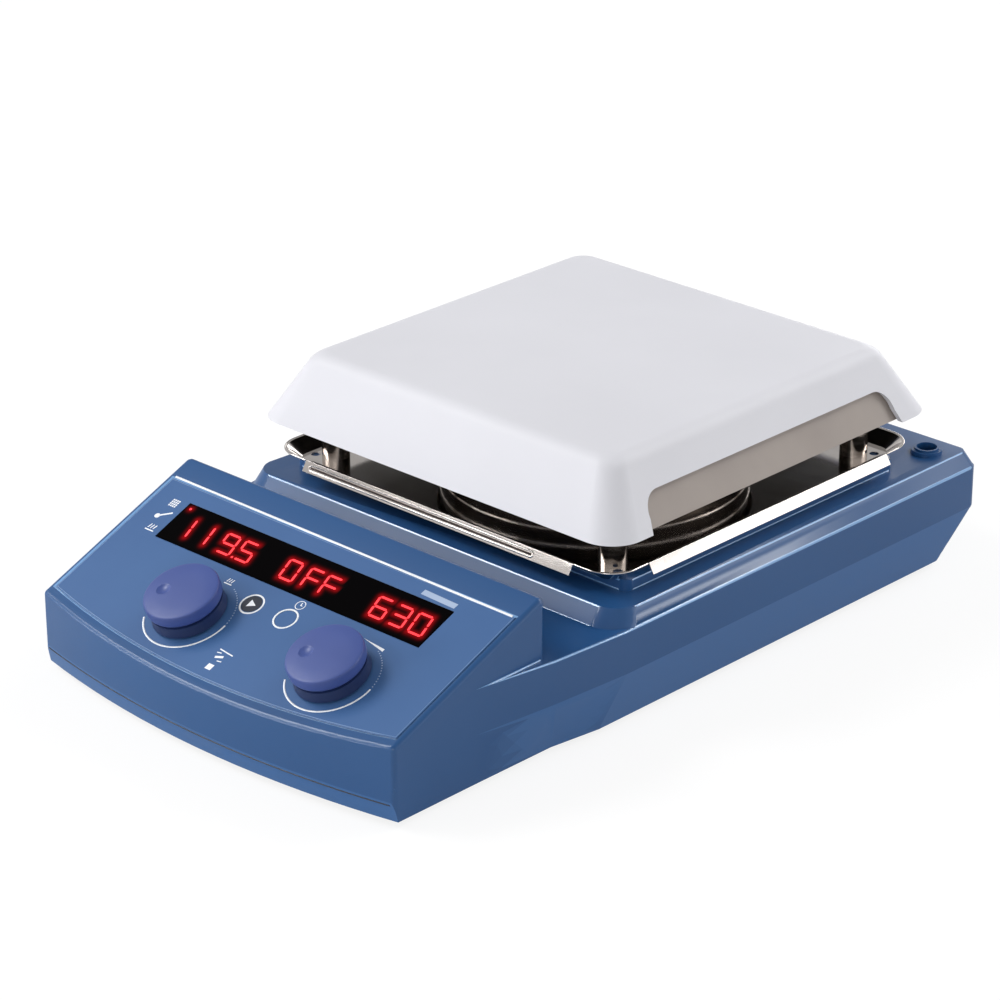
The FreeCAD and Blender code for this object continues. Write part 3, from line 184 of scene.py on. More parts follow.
finishes = {
    # the body's colour for what faces down is painted light: a lighter blue, as the floor's light
    # on its undercut and front strip
    "bodyPaint": {"colour": "265488", "shade": "234f82", "rough": (0.28, 0.33), "coat": 0.05,
                  "grain": 1400, "grainStrength": 0.1, "smear": 8, "patch": 7,
                  "under": ("35639a", -0.05, -0.13)},
    # this pale, glossy blue is a painted highlight on the cut edges of the housing, as the light
    # they catch
    "edgeHighlightPaint": {"colour": "80ade0", "shade": "76a3d6", "rough": (0.14, 0.2), "coat": 1.0,
                  "grain": 1400, "grainStrength": 0.05, "smear": 30},
    "basePaint": {"colour": "2a2d33", "shade": "23262b", "rough": (0.5, 0.66),
                  "grainStrength": 0.3, "specks": "3a3e46"},
    "footRubber": {"colour": "1b1b1c", "shade": "222223", "rough": (0.72, 0.9),
                   "grainStrength": 0.4},
    "zincScrew": {"colour": "b9babd", "shade": "a5a6aa", "metal": 1.0, "rough": (0.25, 0.4)},
    "membraneFilm": {"colour": "416698", "shade": "3e6294", "rough": (0.4, 0.5),
                     "specular": 0.35, "grain": 2500, "grainStrength": 0.08},
    "windowFilm": {"colour": "030203", "shade": "050405", "rough": (0.1, 0.16), "specular": 0.03},
    "moduleBlack": {"colour": "131314", "shade": "1b1b1c", "rough": (0.4, 0.55)},
    "boardGreen": {"colour": "0f4a2a", "shade": "145a35", "rough": (0.3, 0.42)},
    "castZinc": {"colour": "b4b6b9", "shade": "a4a6aa", "metal": 1.0, "rough": (0.28, 0.42)},
    "polishedSteel": {"colour": "dcd6d2", "shade": "d2cbc6", "metal": 1.0, "rough": (0.04, 0.1),
                      "grainStrength": 0.03, "stretch": (1.0, 6.0, 6.0), "smear": 20},
    "drumSteel": {"colour": "7d736a", "shade": "655c54", "metal": 1.0, "rough": (0.1, 0.2),
                  "grainStrength": 0.05, "stretch": (1.0, 1.0, 14.0)},
    "slotShade": {"colour": "3a3230", "shade": "2c2624", "metal": 1.0, "rough": (0.2, 0.3)},
    "turnedSteel": {"colour": "d4cbc3", "shade": "c0b6ae", "metal": 1.0, "rough": (0.12, 0.22),
                    "stretch": (1.0, 1.0, 12.0), "grain": 300},
    "whiteEnamel": {"colour": "dddde3", "shade": "d9d9df", "rough": (0.44, 0.5),
                    "specular": 0.35, "grain": 700, "grainStrength": 0.05, "patch": 12},
    # the pan's colour for what faces down is painted shade: its underside is near black
    "panCoat": {"colour": "a0968f", "shade": "948a84", "rough": (0.4, 0.5),
                "under": ("15120f", -0.3, -0.8)},
    "fibreFelt": {"colour": "dcd7c8", "shade": "cdc7b6", "rough": (0.9, 1.0),
                  "grainStrength": 0.6},
    "castAluminium": {"colour": "aeb0b2", "shade": "9c9ea0", "metal": 1.0, "rough": (0.4, 0.6)},
    "drawnSteel": {"colour": "b5b5b5", "shade": "a5a5a5", "metal": 1.0, "rough": (0.25, 0.35)},
    "motorLacquer": {"colour": "2f3033", "shade": "26272a", "rough": (0.35, 0.5)},
    "bayPlastic": {"colour": "34383f", "shade": "2d3138", "rough": (0.5, 0.62),
                   "grainStrength": 0.35},
    "socketPlastic": {"colour": "111113", "shade": "17171a", "rough": (0.34, 0.48)},
    "platedBrass": {"colour": "c9a85c", "shade": "b8964c", "metal": 1.0, "rough": (0.2, 0.35)},
    "ironSheets": {"colour": "3b3632", "shade": "2e2a27", "metal": 0.6, "rough": (0.5, 0.65),
                   "stretch": (1.0, 1.0, 30.0), "grainStrength": 0.5, "grainDepth": 0.0004},
    "capacitorSleeve": {"colour": "1a1d38", "shade": "151830", "rough": (0.25, 0.35)},
    # the knob's dark navy at its foot is painted shade next to the panel
    "knobPlastic": {"colour": "425596", "shade": "3e508e", "rough": (0.36, 0.46),
                    "grain": 1800, "grainStrength": 0.08,
                    "collar": ("1c2c55", 5.9 * mm, 5.5 * mm)},
    "keyFilm": {"colour": "416698", "shade": "3e6294", "rough": (0.4, 0.5), "specular": 0.35},
    "rockerPlastic": {"colour": "0c0c0d", "shade": "121213", "rough": (0.16, 0.26)},
    "turnedAluminium": {"colour": "bfc1c3", "shade": "b2b4b6", "metal": 1.0,
                        "rough": (0.2, 0.32), "stretch": (1.0, 1.0, 12.0)},
    "ferrite": {"colour": "2c2c2f", "shade": "242426", "rough": (0.5, 0.65)},
    "printWhite": {"colour": "fafcff", "shade": "f2f6fc", "rough": (0.4, 0.5)},
    "printPale": {"colour": "a9bbd6", "shade": "9fb2cf", "rough": (0.4, 0.5)},
    # painted highlight: a pale blue line along the membrane's edge, as the light on the edge of
    # its recess
    "paintedRimHighlight": {"colour": "6f90bd", "shade": "6888b5", "rough": (0.3, 0.4)},
    # this dark colour is a real print on the run key, and painted shadow along the body's front
    # crease
    "darkPrintAndShadow": {"colour": "1b2436", "shade": "172030", "rough": (0.35, 0.45)},
}
finish = {name: newFinish(name, look) for name, look in finishes.items()}


def lampFinish(name, hexText, strength):
    material, tree, shader = newMaterial(name)
    place = tree.nodes.new("ShaderNodeTexCoord").outputs["Object"]
    uneven = spread(tree, noiseOf(tree, place, 900, 2.0), 0.0, 1.0)
    paler = [min(1.0, share * 1.25) for share in linear(hexText)[:3]] + [1.0]
    colour = blendOf(tree, uneven, linear(hexText), paler)
    tree.links.new(colour, shader.inputs["Base Color"])
    tree.links.new(colour, shader.inputs["Emission Color"])
    shader.inputs["Emission Strength"].default_value = strength
    shader.inputs["Roughness"].default_value = 0.3
    return material


def glowFinish(name, hexText):
    # red light that spreads inside the dark window, from each point's own value
    material, tree, shader = newMaterial(name)
    look = finishes["windowFilm"]
    shader.inputs["Base Color"].default_value = linear(look["colour"])
    shader.inputs["Specular IOR Level"].default_value = look["specular"]
    place = tree.nodes.new("ShaderNodeTexCoord").outputs["Object"]
    low, high = look["rough"]
    tree.links.new(spread(tree, noiseOf(tree, place, 60, 4.0), low, high),
                   shader.inputs["Roughness"])
    amount = tree.nodes.new("ShaderNodeAttribute")
    amount.attribute_name = "glow"
    glow = blendOf(tree, amount.outputs["Fac"], [0.0, 0.0, 0.0, 1.0], linear(hexText))
    tree.links.new(glow, shader.inputs["Emission Color"])
    shader.inputs["Emission Strength"].default_value = 1.0
    return material


finish["digitLight"] = lampFinish("digitLight", "ff3038", 1.0)
finish["windowGlow"] = glowFinish("windowGlow", "d01018")
print("stage: finishes", len(finish))


# Plain helpers for pieces

def addObject(name, mesh, material=None):
    piece = bpy.data.objects.new(name, mesh)
    scene.collection.objects.link(piece)
    if material:
        mesh.materials.clear()
        mesh.materials.append(material)
    return piece


def settle(piece):
    # turns a piece with modifiers into a plain mesh
    view = bpy.context.evaluated_depsgraph_get()
    mesh = bpy.data.meshes.new_from_object(piece.evaluated_get(view), depsgraph=view)
    piece.modifiers.clear()
    piece.data = mesh


# the angles are in degrees
creases = {"steep": 35, "steepOnScrews": 40, "flatCrease": 6, "flatFace": 60 * mm * mm,
           "softFrom": 12, "flatAngle": 0.3}


def isCrease(edge, sharpAngle):
    # a true edge of the form: a steep one, or a slight one between two large flats
    if len(edge.link_faces) != 2:
        return True
    angle = edge.calc_face_angle(0.0)
    if angle > math.radians(sharpAngle):
        return True
    areas = [face.calc_area() for face in edge.link_faces]
    return angle > math.radians(creases["flatCrease"]) and min(areas) > creases["flatFace"]


def within(edge, boxes, margin=2 * mm):
    # whether the middle of an edge lies in one of some boxes
    middle = (edge.verts[0].co + edge.verts[1].co) / 2
    return any(all(low[i] - margin < middle[i] < high[i] + margin for i in range(3))
               for low, high in boxes)


def smoothed(mesh, sharpAngle=creases["steep"], softEdge=False, shortest=0.0, plainBoxes=()):
    # smooth faces with sharp creases; edges in the plain boxes get no soft edge
    build = bmesh.new()
    build.from_mesh(mesh)
    weight = build.edges.layers.float.new("bevel_weight_edge") if softEdge else None
    for face in build.faces:
        face.smooth = True
    for edge in build.edges:
        crease = isCrease(edge, sharpAngle)
        edge.smooth = not crease
        if softEdge and crease and edge.calc_face_angle(0.0) > math.radians(creases["softFrom"]):
            if edge.calc_length() > shortest and not within(edge, plainBoxes):
                edge[weight] = 1.0
                edge.smooth = True
    build.to_mesh(mesh)
    build.free()


# the foot of the housing and the rim of its rear bay are too thin for cut edges
footBox = (Vector((-200, -200, 0)) * mm, Vector((200, 200, 12)) * mm)
plainBoxesOf = {"upper_housing": [footBox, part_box("rear_panel")]}
shortestCut = 2 * mm


def dressed(node, material, body, softEdge=0.0, highlightMaterial=None):
    # a merged copy of a solid, with flat faces kept flat and soft or cut edges; cut edges take a
    # material of their own, a painted highlight
    cutEdge = highlightMaterial is not None
    mesh = nodes[node].data.copy()
    if "custom_normal" in mesh.attributes:
        mesh.attributes.remove(mesh.attributes["custom_normal"])
    build = bmesh.new()
    build.from_mesh(mesh)
    bmesh.ops.remove_doubles(build, verts=build.verts, dist=mergeDistance)
    bmesh.ops.dissolve_limit(build, angle_limit=math.radians(creases["flatAngle"]),
                             verts=build.verts, edges=build.edges, delimit={"NORMAL"})
    build.to_mesh(mesh)
    build.free()
    smoothed(mesh, softEdge=softEdge > 0, shortest=shortestCut if cutEdge else 0.0,
             plainBoxes=plainBoxesOf.get(node, ()))
    piece = addObject(node + "_dressed", mesh, material)
    if softEdge:
        bevel = piece.modifiers.new("softEdge", "BEVEL")
        bevel.width = softEdge
        bevel.segments = 1 if cutEdge else 2
        bevel.limit_method = "WEIGHT"
        bevel.harden_normals = False
        if cutEdge:
            bevel.use_clamp_overlap = False
            bevel.mark_sharp = True
            mesh.materials.append(highlightMaterial)
            bevel.material = 1
    even = piece.modifiers.new("evenNormals", "WEIGHTED_NORMAL")
    even.keep_sharp = True
    settle(piece)
    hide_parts(node)
    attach(piece, body)


bodyOf = {node: body for body, members in frame["record"]["behaviour"]["bodies"].items()
          for node in members}
slotOf = {row["node"]: row["material_slot"] for row in frame["record"]["subparts"]}
finishOfSlot = {
    "housing_blue": "bodyPaint", "base_dark": "basePaint", "foot_rubber": "footRubber",
    "screw_steel": "zincScrew", "membrane_blue": "membraneFilm", "window_black": "windowFilm",
    "module_black": "moduleBlack", "board_green": "boardGreen", "encoder_zinc": "castZinc",
    "tray_steel": "polishedSteel", "post_steel": "turnedSteel", "plate_white": "whiteEnamel",
    "pan_grey": "panCoat", "insulation_fibre": "fibreFelt", "heater_metal": "castAluminium",
    "sensor_steel": "drawnSteel", "motor_dark": "motorLacquer", "bay_dark": "bayPlastic",
    "connector_black": "socketPlastic", "pin_brass": "platedBrass", "iron_core": "ironSheets",
    "capacitor_sleeve": "capacitorSleeve", "knob_blue": "knobPlastic", "key_blue": "keyFilm",
    "rocker_black": "rockerPlastic", "carrier_metal": "turnedAluminium",
    "magnet_ferrite": "ferrite",
}
softEdgeOf = {"upper_housing": 0.7 * mm, "front_overlay": 0.25 * mm, "knob_left": 0.35 * mm,
              "knob_right": 0.35 * mm, "run_key": 0.2 * mm, "timer_key": 0.2 * mm,
              "rod_socket": 0.4 * mm, "deflector_tray": 0.12 * mm, "rear_panel": 0.3 * mm,
              "inlet_housing": 0.5 * mm, "fuse_drawer": 0.3 * mm, "power_rocker": 0.4 * mm,
              "base_plate": 0.3 * mm, "heater_pan": 0.2 * mm}
shownNodes = ["upper_housing", "base_plate", "feet", "front_overlay", "display_window",
              "knob_left", "knob_right", "run_key", "timer_key", "rod_socket", "deflector_tray",
              "plate_posts", "top_plate", "heater_pan", "magnet_cover", "rear_panel",
              "inlet_housing", "sensor_socket", "fuse_drawer", "power_rocker"]
finishOfNode = {node: finishOfSlot[slotOf[node]] for node in nodes}
finishOfNode["magnet_cover"] = "drumSteel"
# the housing's cut edges get a painted highlight
edgeHighlightFinishOf = {"upper_housing": "edgeHighlightPaint"}
for node in shownNodes:
    dressed(node, finish[finishOfNode[node]], bodyOf[node],
            softEdgeOf.get(node, 0.0), finish.get(edgeHighlightFinishOf.get(node)))
for node, piece in nodes.items():
    if node not in shownNodes:
        piece.data.materials.clear()
        piece.data.materials.append(finish[finishOfNode[node]])
print("stage: solids dressed")


# Geometry node trees for what repeats or follows a path

def newTree(name, sizes):
    # a tree with named number inputs and one material input
    tree = bpy.data.node_groups.new(name, "GeometryNodeTree")
    tree.interface.new_socket("Geometry", in_out="INPUT", socket_type="NodeSocketGeometry")
    for label, value in sizes.items():
        socket = tree.interface.new_socket(label, in_out="INPUT", socket_type="NodeSocketFloat")
        socket.default_value = value
    tree.interface.new_socket("Material", in_out="INPUT", socket_type="NodeSocketMaterial")
    tree.interface.new_socket("Geometry", in_out="OUTPUT", socket_type="NodeSocketGeometry")
    return tree, tree.nodes.new("NodeGroupInput"), tree.nodes.new("NodeGroupOutput")


def finishTree(tree, start, end, geometry):
    real = tree.nodes.new("GeometryNodeRealizeInstances")
    paint = tree.nodes.new("GeometryNodeSetMaterial")
    tree.links.new(geometry, real.inputs["Geometry"])
    tree.links.new(real.outputs["Geometry"], paint.inputs["Geometry"])
    tree.links.new(start.outputs["Material"], paint.inputs["Material"])
    tree.links.new(paint.outputs["Geometry"], end.inputs["Geometry"])
    return tree


def sweepTree(name, sizes, sectionNode, upright=False):
    # a flat or round section with the tree's own sizes, swept along a path
    tree, start, end = newTree(name, sizes)
    path = tree.nodes.new("GeometryNodeMeshToCurve")
    tree.links.new(start.outputs["Geometry"], path.inputs["Mesh"])
    curve = path.outputs["Curve"]
    if upright:
        level = tree.nodes.new("GeometryNodeSetCurveNormal")
        level.mode = "Z_UP"
        tree.links.new(curve, level.inputs["Curve"])
        curve = level.outputs["Curve"]
    section = tree.nodes.new(sectionNode)
    if "Resolution" in section.inputs:
        section.inputs["Resolution"].default_value = 10
    for label in sizes:
        tree.links.new(start.outputs[label], section.inputs[label])
    sweep = tree.nodes.new("GeometryNodeCurveToMesh")
    sweep.inputs["Fill Caps"].default_value = True
    tree.links.new(curve, sweep.inputs["Curve"])
    tree.links.new(section.outputs["Curve"], sweep.inputs["Profile Curve"])
    return finishTree(tree, start, end, sweep.outputs["Mesh"])


def dotTree():
    # a small disc on every point
    tree, start, end = newTree("dotsOnPoints", {"Radius": 0.3 * mm, "Height": 0.04 * mm})
    dot = tree.nodes.new("GeometryNodeMeshCylinder")
    dot.inputs["Vertices"].default_value = 12
    copies = tree.nodes.new("GeometryNodeInstanceOnPoints")
    tree.links.new(start.outputs["Radius"], dot.inputs["Radius"])
    tree.links.new(start.outputs["Height"], dot.inputs["Depth"])
    tree.links.new(start.outputs["Geometry"], copies.inputs["Points"])
    tree.links.new(dot.outputs["Mesh"], copies.inputs["Instance"])
    return finishTree(tree, start, end, copies.outputs["Instances"])


def screwTree():
    # a cross-slotted screw on every point, head up, turned at random about its length
    sizes = {"Head Radius": 3.0 * mm, "Head Height": 1.6 * mm, "Shank Radius": 1.5 * mm,
             "Shank Length": 12.9 * mm, "Slot Width": 0.9 * mm, "Slot Depth": 0.9 * mm}
    tree, start, end = newTree("crossSlotScrews", sizes)

    def scaled(label, factor):
        return mathOf(tree, "MULTIPLY", start.outputs[label], factor)

    def raisedBy(geometry, height):
        lift = tree.nodes.new("ShaderNodeCombineXYZ")
        move = tree.nodes.new("GeometryNodeTransform")
        tree.links.new(height, lift.inputs["Z"])
        tree.links.new(geometry, move.inputs["Geometry"])
        tree.links.new(lift.outputs["Vector"], move.inputs["Translation"])
        return move.outputs["Geometry"]

    head = tree.nodes.new("GeometryNodeMeshCone")
    head.inputs["Vertices"].default_value = 40
    tree.links.new(scaled("Head Radius", 0.8), head.inputs["Radius Top"])
    tree.links.new(start.outputs["Head Radius"], head.inputs["Radius Bottom"])
    tree.links.new(start.outputs["Head Height"], head.inputs["Depth"])
    cutters = tree.nodes.new("GeometryNodeJoinGeometry")
    for longSide in ("X", "Y"):
        size = tree.nodes.new("ShaderNodeCombineXYZ")
        shortSide = "Y" if longSide == "X" else "X"
        tree.links.new(scaled("Head Radius", 1.1), size.inputs[longSide])
        tree.links.new(start.outputs["Slot Width"], size.inputs[shortSide])
        tree.links.new(scaled("Slot Depth", 2.0), size.inputs["Z"])
        cube = tree.nodes.new("GeometryNodeMeshCube")
        tree.links.new(size.outputs["Vector"], cube.inputs["Size"])
        tree.links.new(raisedBy(cube.outputs["Mesh"], start.outputs["Head Height"]),
                       cutters.inputs["Geometry"])
    carve = tree.nodes.new("GeometryNodeMeshBoolean")
    carve.operation = "DIFFERENCE"
    tree.links.new(head.outputs["Mesh"], carve.inputs["Mesh 1"])
    tree.links.new(cutters.outputs["Geometry"], carve.inputs["Mesh 2"])
    shank = tree.nodes.new("GeometryNodeMeshCylinder")
    shank.inputs["Vertices"].default_value = 20
    tree.links.new(start.outputs["Shank Radius"], shank.inputs["Radius"])
    tree.links.new(start.outputs["Shank Length"], shank.inputs["Depth"])
    joined = tree.nodes.new("GeometryNodeJoinGeometry")
    tree.links.new(raisedBy(shank.outputs["Mesh"], scaled("Shank Length", -0.499)),
                   joined.inputs["Geometry"])
    tree.links.new(carve.outputs["Mesh"], joined.inputs["Geometry"])
    turn = tree.nodes.new("FunctionNodeRandomValue")
    turn.data_type = "FLOAT"
    turn.inputs[3].default_value = 3.14
    turn.inputs["Seed"].default_value = 7
    angle = tree.nodes.new("ShaderNodeCombineXYZ")
    tree.links.new(turn.outputs[1], angle.inputs["Z"])
    copies = tree.nodes.new("GeometryNodeInstanceOnPoints")
    tree.links.new(start.outputs["Geometry"], copies.inputs["Points"])
    tree.links.new(joined.outputs["Geometry"], copies.inputs["Instance"])
    tree.links.new(angle.outputs["Vector"], copies.inputs["Rotation"])
    return finishTree(tree, start, end, copies.outputs["Instances"])


trees = {
    "strip": sweepTree("stripAlongPath", {"Width": 0.5 * mm, "Height": 0.04 * mm},
                       "GeometryNodeCurvePrimitiveQuadrilateral", upright=True),
    "bead": sweepTree("beadAlongPath", {"Radius": 0.4 * mm}, "GeometryNodeCurvePrimitiveCircle"),
    "dots": dotTree(),
    "screws": screwTree(),
}


def grown(name, treeName, points, sizes, material, runs=None, frameOf=None):
    # runs a tree on points or on runs of points and keeps the plain mesh
    mesh = bpy.data.meshes.new(name)
    edges = []
    for run in runs or []:
        edges += [(run[i], run[i + 1]) for i in range(len(run) - 1)]
    mesh.from_pydata([tuple(point) for point in points], edges, [])
    piece = addObject(name, mesh)
    modifier = piece.modifiers.new(treeName, "NODES")
    modifier.node_group = trees[treeName]
    inputs = {item.name: item.identifier for item in trees[treeName].interface.items_tree
              if item.in_out == "INPUT"}
    for label, value in sizes.items():
        modifier[inputs[label]] = value
    modifier[inputs["Material"]] = material
    settle(piece)
    if frameOf:
        piece.data.transform(frameOf)
    return piece


def alongPaths(name, treeName, paths, sizes, material, frameOf=None):
    # each path is a list of points; a closed one ends on its first point
    points, runs = [], []
    for path in paths:
        closed = (Vector(path[0]) - Vector(path[-1])).length < 1e-7
        own = path[:-1] if closed else path
        run = list(range(len(points), len(points) + len(own)))
        if closed:
            run.append(run[0])
        points += own
        runs.append(run)
    return grown(name, treeName, points, sizes, material, runs, frameOf)


def owned(piece, body):
    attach(piece, body)


print("stage: node trees", len(trees))


# Screws with cross slots in place of the plain ones

screwKinds = {
    "base_screws": {"headRadius": 3.0, "headHeight": 1.6, "shankRadius": 1.5, "shankLength": 12.9,
                    "axis": "Z", "headSide": -1},
    "inlet_screws": {"headRadius": 2.4, "headHeight": 1.5, "shankRadius": 1.5,
                     "shankLength": 8.0, "axis": "Y", "headSide": 1},
}


def loosePieces(node):
    # the low and high corners of a node's separate solids, in a fixed order
    build = bmesh.new()
    build.from_mesh(nodes[node].data)
    bmesh.ops.remove_doubles(build, verts=build.verts, dist=mergeDistance)
    waiting = set(build.verts)
    found = []
    while waiting:
        group, ahead = set(), [waiting.pop()]
        while ahead:
            corner = ahead.pop()
            group.add(corner)
            for link in corner.link_edges:
                other = link.other_vert(corner)
                if other in waiting:
                    waiting.remove(other)
                    ahead.append(other)
        low = Vector([min(v.co[i] for v in group) for i in range(3)])
        high = Vector([max(v.co[i] for v in group) for i in range(3)])
        found.append((low, high))
    build.free()
    return sorted(found, key=lambda box: (box[0].y, box[0].x))


def crossScrews(node, kind):
    down = kind["headSide"] < 0
    if kind["axis"] == "Z":
        turned = Matrix.Rotation(math.pi, 4, "X")
    else:
        turned = Matrix.Rotation(-math.pi / 2, 4, "X")
    points = []
    for low, high in loosePieces(node):
        middle = (low + high) / 2
        if down:
            seat = Vector((middle.x, middle.y, low.z + kind["headHeight"] * mm))
        else:
            seat = Vector((middle.x, high.y - kind["headHeight"] * mm, middle.z))
        points.append(turned.inverted() @ seat)
    sizes = {"Head Radius": kind["headRadius"] * mm, "Head Height": kind["headHeight"] * mm,
             "Shank Radius": kind["shankRadius"] * mm, "Shank Length": kind["shankLength"] * mm}
    piece = grown(node + "_crossSlot", "screws", points, sizes, finish["zincScrew"],
                  frameOf=turned)
    smoothed(piece.data, creases["steepOnScrews"])
    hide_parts(node)
    owned(piece, bodyOf[node])


for node, kind in screwKinds.items():
    crossScrews(node, kind)
print("stage: screws")


# Prints on the sloping panel

tiltCos, tiltSin = math.cos(panel["tilt"]), math.sin(panel["tilt"])
panelFrame = Matrix(((1, 0, 0, 0),
                     (0, tiltCos, -tiltSin, panel["frontY"]),
                     (0, tiltSin, tiltCos, panel["startZ"]),
                     (0, 0, 0, 1)))


def topOnPanel(node):
    # how far a solid stands out, measured square to the panel
    inverse = panelFrame.inverted()
    return max((inverse @ v.co).z for v in nodes[node].data.vertices)


filmTop = topOnPanel("front_overlay")
windowTop = topOnPanel("display_window")
keyTop = topOnPanel("run_key")
print("stage: panel levels", round(filmTop / mm, 3), round(windowTop / mm, 3))


def prism(build, points, low, high):
    # a closed sheet from an outline in panel coordinates
    rings = [[build.verts.new((x, y, level)) for x, y in points] for level in (low, high)]
    build.faces.new(list(reversed(rings[0])))
    build.faces.new(rings[1])
    count = len(points)
    for i in range(count):
        j = (i + 1) % count
        build.faces.new((rings[0][i], rings[0][j], rings[1][j], rings[1][i]))


def arcPath(x, y, radius, start, end, steps=60):
    angles = [math.radians(start + (end - start) * i / steps) for i in range(steps + 1)]
    return [(x + radius * math.cos(a), y + radius * math.sin(a)) for a in angles]


def bar(x1, y1, x2, y2, width):
    along = Vector((x2 - x1, y2 - y1)).normalized() * width / 2
    side = Vector((-along.y, along.x))
    return [(x1 - side.x, y1 - side.y), (x2 - side.x, y2 - side.y),
            (x2 + side.x, y2 + side.y), (x1 + side.x, y1 + side.y)]


def disc(x, y, radius, steps=28):
    return arcPath(x, y, radius, 0, 360, steps)[:-1]


def sheetPiece(name, outlines, low, high, material, body):
    build = bmesh.new()
    for points in outlines:
        prism(build, [(x * mm, y * mm) for x, y in points], low, high)
    mesh = bpy.data.meshes.new(name)
    bmesh.ops.triangulate(build, faces=build.faces)
    build.transform(panelFrame)
    bmesh.ops.recalc_face_normals(build, faces=build.faces)
    build.to_mesh(mesh)
    build.free()
    owned(addObject(name, mesh, material), body)


def onPanel(path, level):
    return [Vector((x * mm, y * mm, level)) for x, y in path]


sheet = panel["printSheet"]
printTop = filmTop + sheet


def panelLine(name, paths, width, finishName):
    # a printed line of one width along paths on the film
    lifted = [onPanel(path, filmTop + sheet / 2) for path in paths]
    sizes = {"Width": width * mm, "Height": sheet}
    piece = alongPaths(name, "strip", lifted, sizes, finish[finishName], panelFrame)
    owned(piece, "stirrer")


def filmPrint(name, outlines, finishName):
    sheetPiece(name, outlines, filmTop, printTop, finish[finishName],
               "stirrer")


knobs = {"left": {"x": -30.8, "y": 18.9}, "right": {"x": 50.3, "y": 18.9}}
knobPrint = {"radius": 19.6, "line": 0.8, "solidFrom": 213, "solidTo": 362, "dotsTo": 428,
             "dotStep": 4.2, "dotRadius": 0.28}
keyPrint = {"radius": 5.1, "steps": 48}
keys = {"run_key": {"x": -9.4, "y": 33.6}, "timer_key": {"x": 9.9, "y": 33.6}}
topLine = {"left": (-96.6, 76.1), "right": (96.0, 74.9), "line": 0.95}

solidPaths, dots = [], []
for knob in knobs.values():
    solidPaths.append(arcPath(knob["x"], knob["y"], knobPrint["radius"], knobPrint["solidFrom"],
                              knobPrint["solidTo"]))
    turn = knobPrint["solidTo"] + knobPrint["dotStep"]
    while turn < knobPrint["dotsTo"]:
        dots.append((knob["x"] + knobPrint["radius"] * math.cos(math.radians(turn)),
                     knob["y"] + knobPrint["radius"] * math.sin(math.radians(turn))))
        turn += knobPrint["dotStep"]
solidPaths += [arcPath(key["x"], key["y"], keyPrint["radius"], 0, 360, keyPrint["steps"])
               for key in keys.values()]
panelLine("panelArcs", solidPaths, knobPrint["line"], "printWhite")
owned(grown("panelDots", "dots", onPanel(dots, filmTop + sheet / 2),
            {"Radius": knobPrint["dotRadius"] * mm, "Height": sheet}, finish["printPale"],
            frameOf=panelFrame), "stirrer")

# the top line fills the step between the film and the paint around it
owned(alongPaths("topLine", "strip", [onPanel([topLine["left"], topLine["right"]],
                                              (filmTop + sheet) / 2)],
                 {"Width": topLine["line"] * mm, "Height": sheet - filmTop},
                 finish["printWhite"], panelFrame), "stirrer")


def thermometer(x, y, size):
    # a slanted stem with a bulb
    return [bar(x - size * 0.25, y - size * 0.15, x + size * 0.5, y + size * 0.4, size * 0.13),
            disc(x - size * 0.35, y - size * 0.22, size * 0.2)]


def heatWaves(x, y, size):
    # three short slanted strokes over a bar
    shapes = [bar(x - size / 2, y - size * 0.32, x + size / 2, y - size * 0.32, size * 0.12)]
    for i in (-1, 0, 1):
        shapes.append(bar(x + size * (0.3 * i - 0.06), y - size * 0.12,
                          x + size * (0.3 * i + 0.06), y + size * 0.35, size * 0.1))
    return shapes


def hatchSquare(x, y, size):
    cell = size / 4
    shapes = []
    for row in range(4):
        for column in range(4):
            left = x - size / 2 + column * cell
            low = y - size / 2 + row * cell
            shapes.append([(left, low), (left + cell * 0.7, low),
                           (left + cell * 0.7, low + cell * 0.7), (left, low + cell * 0.7)])
    return shapes


def stirBar(x, y, size):
    # a short rod between two turning marks
    return [bar(x - size * 0.32, y - size * 0.12, x + size * 0.32, y + size * 0.12, size * 0.2),
            bar(x - size * 0.5, y + size * 0.3, x - size * 0.1, y + size * 0.36, size * 0.08),
            bar(x + size * 0.1, y - size * 0.36, x + size * 0.5, y - size * 0.3, size * 0.08)]


def clockFace(x, y, size):
    return [bar(x, y, x, y + size * 0.33, size * 0.1), bar(x, y, x + size * 0.24, y, size * 0.1)]


clock = {"x": 10.4, "y": 42.0, "size": 4.2, "radius": 2.2, "line": 0.35, "steps": 36}
marks = {
    "heater": hatchSquare(-84.9, 63.9, 4.4),
    "probe": thermometer(-84.5, 56.4, 6.4),
    "heat": heatWaves(-83.8, 48.6, 5.0),
    "plateHeat": heatWaves(-27.6, 39.3, 4.2),
    "clock": clockFace(clock["x"], clock["y"], clock["size"]),
    "stirrer": stirBar(-0.6, 5.4, 5.6),
    "bench": [[(-2.0, -1.8), (1.0, -1.8), (1.0, 1.1), (-2.0, 1.1)]],
    "ramp": [[(48.1, 39.6), (60.2, 37.2), (60.2, 38.6)]],
    "turned": [bar(-3.4, 9.0, 4.4, 8.2, 0.55)],
}
bareStrip = [(52.5, 68.6), (70.9, 68.0), (71.1, 70.6), (52.7, 71.2)]
runPrint = {"disc": 4.4, "back": -1.5, "tip": 2.2, "half": 2.0}
outlines = [shape for shapes in marks.values() for shape in shapes]
filmPrint("panelMarks", outlines, "printWhite")
ring = arcPath(clock["x"], clock["y"], clock["radius"], 0, 360, clock["steps"])
panelLine("clockRing", [ring], clock["line"], "printWhite")
filmPrint("bareStrip", [bareStrip], "printPale")
run = keys["run_key"]
sheetPiece("runDisc", [disc(run["x"], run["y"], runPrint["disc"])], keyTop, keyTop + sheet,
           finish["darkPrintAndShadow"], "run_button")
